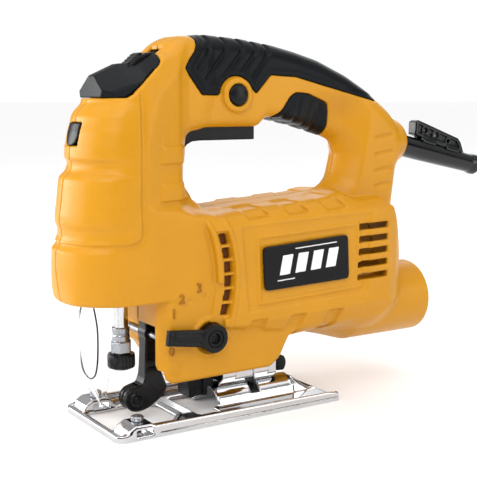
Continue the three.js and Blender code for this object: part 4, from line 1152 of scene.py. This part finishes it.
# ---- sole
def sole():
    s = Grid((-21.5, 132), (-37, 37), (-1.2, 16), 0.55)
    plan = [(-20.1, -36), (130.4, -36), (130.4, 36), (-20.1, 36)]
    edge = outline(plan, s.x, s.y)
    corner = np.where(s.x < 50, 6.0, 2.5)
    centre_x, half_x = 55.15, 75.25
    qx = abs(s.x - centre_x) - half_x + corner
    qy = abs(s.y) - 36 + corner
    edge = np.minimum(within(qx, qy), 0) + np.sqrt(np.maximum(qx, 0) ** 2
                                                   + np.maximum(qy, 0) ** 2) - corner
    plate = meet(edge, span(s.z, 0, 2.2), 0.5)
    rail_top = level(s.x, (-20, -13, -9, 122, 130), (3.6, 4.4, 7.1, 6.4, 5.4))
    wall = within(edge, -(edge + 2.3))
    wall = within(wall, abs(s.x - 55) - 74.9)
    rail = meet(wall, s.z - rail_top, 1.0)
    rail = within(rail, -s.z)
    side_only = np.where(abs(s.y) > 33, rail, 10)
    lip = within(edge, -(edge + 3.0), span(s.z, 0.2, 3.7))
    front_lip = np.where(s.x < -10, lip, 10)
    solid = join(plate, side_only, 1.2)
    solid = join(solid, front_lip, 1.0)
    for sign in (-1, 1):
        near = s.y * sign
        arch = meet(outline([(-17.5, 0), (6.5, 0), (4.6, 5.4), (1.4, 8.2), (-9.2, 8.4),
                             (-13.2, 6.0)], s.x, s.z), span(near, 20, 35.9), 1.0)
        solid = join(solid, arch, 0.8)
    solid = cut(solid, within(span(s.x, -8.6, 1.6), span(s.z, 2.2, 5.6)), 0.4)
    reach = away(s.y, s.z)
    ridge = meet(reach - 14, span(s.x, 57, 112), 0.6)
    tail = meet(outline([(110.4, 0), (130.2, 0), (130.2, 2.2), (125, 3.2), (117, 8.2),
                         (111.4, 12.6), (110.4, 12.8)], s.x, s.z), abs(s.y) - 12, 2.0)
    solid = join(solid, within(ridge, -s.z), 1.2)
    solid = join(solid, tail, 0.8)
    hollow = within(reach - 11.8, span(s.x, 50, 112))
    under = outline([(100, -3), (122, -3), (115, 5.5), (111.9, 8.5), (100, 8.5)], s.x, s.z)
    under = within(under, abs(s.y) - 10)
    solid = cut(solid, hollow, 0.3)
    solid = cut(solid, under, 0.3)
    angle = np.degrees(np.arctan2(s.z, abs(s.y)))
    slot = within(29 - angle, span(s.x, 80.9, 87.1), 5 - reach)
    solid = cut(solid, slot, 0.3)
    first = outline([(-14.5, -17), (-12, -19.5), (22, -19.5), (28.5, -12), (28.5, 12), (22, 19.5),
                     (-12, 19.5), (-14.5, 17)], s.x, s.y)
    second = outline([(40, -17.5), (42, -19.5), (54, -19.5), (54, 19.5), (42, 19.5), (40, 17.5)],
                     s.x, s.y)
    solid = cut(solid, within(np.minimum(first, second), s.z - 4), 0.5)
    solid = solid - 0.7 * bump(first - 2.2, 1.5) * (s.z > 1) * (s.z < 4.5) * (s.x > 8)
    for sign in (-1, 1):
        hole = away(s.x + 4, s.y - sign * 27) - 2.35
        solid = cut(solid, within(hole, 4 - s.z), 0.2)
    obj = moulded("chrome_sole", solid, s, keep=0.6)
    dressed(obj, "sole", "polished_steel", "sole_plate")
    for name, sign in (("left", -1), ("right", 1)):
        dressed(lathe(f"{name}_fence_bolt", [
            (0.01, 6), (2.0, 6), (2.0, 8.6), (3.4, 8.6), (3.6, 9.0), (3.6, 10.6), (3.1, 11.2),
            (1.4, 11.2), (1.2, 10.2), (0.01, 10.2),
        ], "z", (-4, sign * 27, 0), 40), "sole", "machined_steel", f"{name}_fence_screw")


sole()


def bracket():
    s = Grid((26, 102), (-14.5, 14.5), (12, 27.5), 0.45)
    reach = away(s.y, s.z)
    rear = meet(within(span(s.x, 60, 100), abs(s.y) - 11), span(s.z, 12, 26.7), 0.5)
    front = meet(within(span(s.x, 28, 61), abs(s.y) - 11), span(s.z, 22.5, 26.7), 0.5)
    piece = join(rear, front, 0.4)
    for start, end in ((40, 50), (60, 69.5), (82, 93)):
        tab = within(span(s.x, start, end), abs(s.y) - 13.5)
        piece = join(piece, meet(tab, span(s.z, 22.7 if start < 60 else 16, 26.7), 0.6), 0.5)
    piece = cut(piece, reach - 14.4, 0.3)
    piece = cut(piece, (s.z - abs(s.y)) / sqrt(2) - 3.9, 0.3)
    hole = away(s.x - 84, s.y) - 2.85
    piece = cut(piece, hole, 0.2)
    dressed(moulded("steel_bracket", piece, s, keep=0.7), "housing", "machined_steel",
            "tilt_bracket", look="polished_steel")


bracket()


def spacer():
    s = Grid((38.5, 58.5), (-8.5, 8.5), (7.5, 23), 0.45)
    upper = within(span(s.x, 40, 57), span(s.z, 14, 22.2))
    lower = within(span(s.x, 40.4, 53), span(s.z, 8.6, 16))
    piece = meet(join(upper, lower, 0.5), abs(s.y) - 7.5, 0.8)
    piece = cut(piece, within(span(s.x, 44, 50), 5.6 - abs(s.y)), 0.4)
    dressed(moulded("spacer_block", piece, s), "housing", "black_plastic", "bracket_spacer")


spacer()
bumper()

# ---- the pieces kept from the CAD
slot_of = {row["node"]: row["material_slot"] for row in frame["record"]["subparts"]}
for name, obj in frame["nodes"].items():
    obj.data.materials.clear()
    obj.data.materials.append(FINISH[slot_of[name]])


# ---- stage, lights and camera
def stage_mesh(name, points, faces):
    mesh = bpy.data.meshes.new(name)
    mesh.from_pydata(points, [], faces)
    obj = linked(name, mesh)
    return obj


floor = stage_mesh("floor", [(-40, -40, 0), (40, -40, 0), (40, 40, 0), (-40, 40, 0)],
                   [[0, 1, 2, 3]])
floor.data.materials.append(finish_of("floor", (0.93, 0.93, 0.93), 0.7, spread=0.005,
                                      grain=0.0, blotch=3.0, sheen=0.1))


def area_light(name, place, target, size, power, colour=(1, 1, 1)):
    light = bpy.data.lights.new(name, "AREA")
    light.shape = "RECTANGLE"
    light.size, light.size_y = size
    light.energy = power
    light.color = colour
    obj = linked(name, light)
    obj.location = place
    obj.rotation_euler = (Vector(target) - Vector(place)).to_track_quat("-Z", "Y").to_euler()


MIDDLE = (0, 0, 0.1)
area_light("key", (-0.9, -0.8, 0.9), MIDDLE, (0.7, 0.7), 6)
area_light("side", (0.9, -1.3, 0.5), MIDDLE, (0.6, 0.8), 5)
area_light("rim", (-1.35, 0.45, 0.35), MIDDLE, (0.9, 0.6), 8)
area_light("glint", (-1.0, 1.1, 0.36), MIDDLE, (0.8, 0.5), 9)
area_light("back", (0.9, 0.9, 0.8), MIDDLE, (1.0, 0.8), 3.5)
sky = bpy.data.lights.new("sky", "SUN")
sky.energy, sky.angle = 2.1, radians(100)
sky_obj = linked("sky", sky)
sky_obj.rotation_euler = (radians(12), radians(-10), 0)

world = bpy.data.worlds.new("studio")
world.use_nodes = True
tree = world.node_tree
link = tree.links.new
seen = node(tree, "ShaderNodeBackground", Color=(1, 1, 1, 1), Strength=1.0)
lit = tree.nodes["Background"]
lit.inputs["Strength"].default_value = 0.56
bands = tree.nodes.new("ShaderNodeValToRGB")
for place, grey in ((0.5, 0.02), (0.595, 0.04), (0.64, 0.9), (0.74, 1.0), (0.82, 0.55), (1, 0.8)):
    stop = bands.color_ramp.elements.new(place)
    stop.color = (grey, grey, grey, 1)
height = node(tree, "ShaderNodeMath", operation="MULTIPLY_ADD")
height.inputs[1].default_value = height.inputs[2].default_value = 0.5
split = tree.nodes.new("ShaderNodeSeparateXYZ")
link(tree.nodes.new("ShaderNodeTexCoord").outputs["Generated"], split.inputs[0])
link(split.outputs["Z"], height.inputs[0])
link(height.outputs[0], bands.inputs[0])
link(bands.outputs["Color"], lit.inputs["Color"])
choose = tree.nodes.new("ShaderNodeMixShader")
link(tree.nodes.new("ShaderNodeLightPath").outputs["Is Camera Ray"], choose.inputs[0])
link(lit.outputs[0], choose.inputs[1])
link(seen.outputs[0], choose.inputs[2])
link(choose.outputs[0], tree.nodes["World Output"].inputs["Surface"])
bpy.context.scene.world = world
bpy.context.scene.view_settings.view_transform = "Standard"

camera = bpy.data.cameras.new("camera")
camera.sensor_width, camera.lens = 36, 75.9
camera.clip_start, camera.clip_end = 0.05, 50
eye = linked("camera", camera)
AZIMUTH, ELEVATION = -32.65, 7.94
eye.location = (PLUNGER_X - 0.24485, -0.50601, 0.18374)
eye.rotation_euler = (radians(90 - ELEVATION), 0, radians(AZIMUTH))
bpy.context.scene.camera = eye
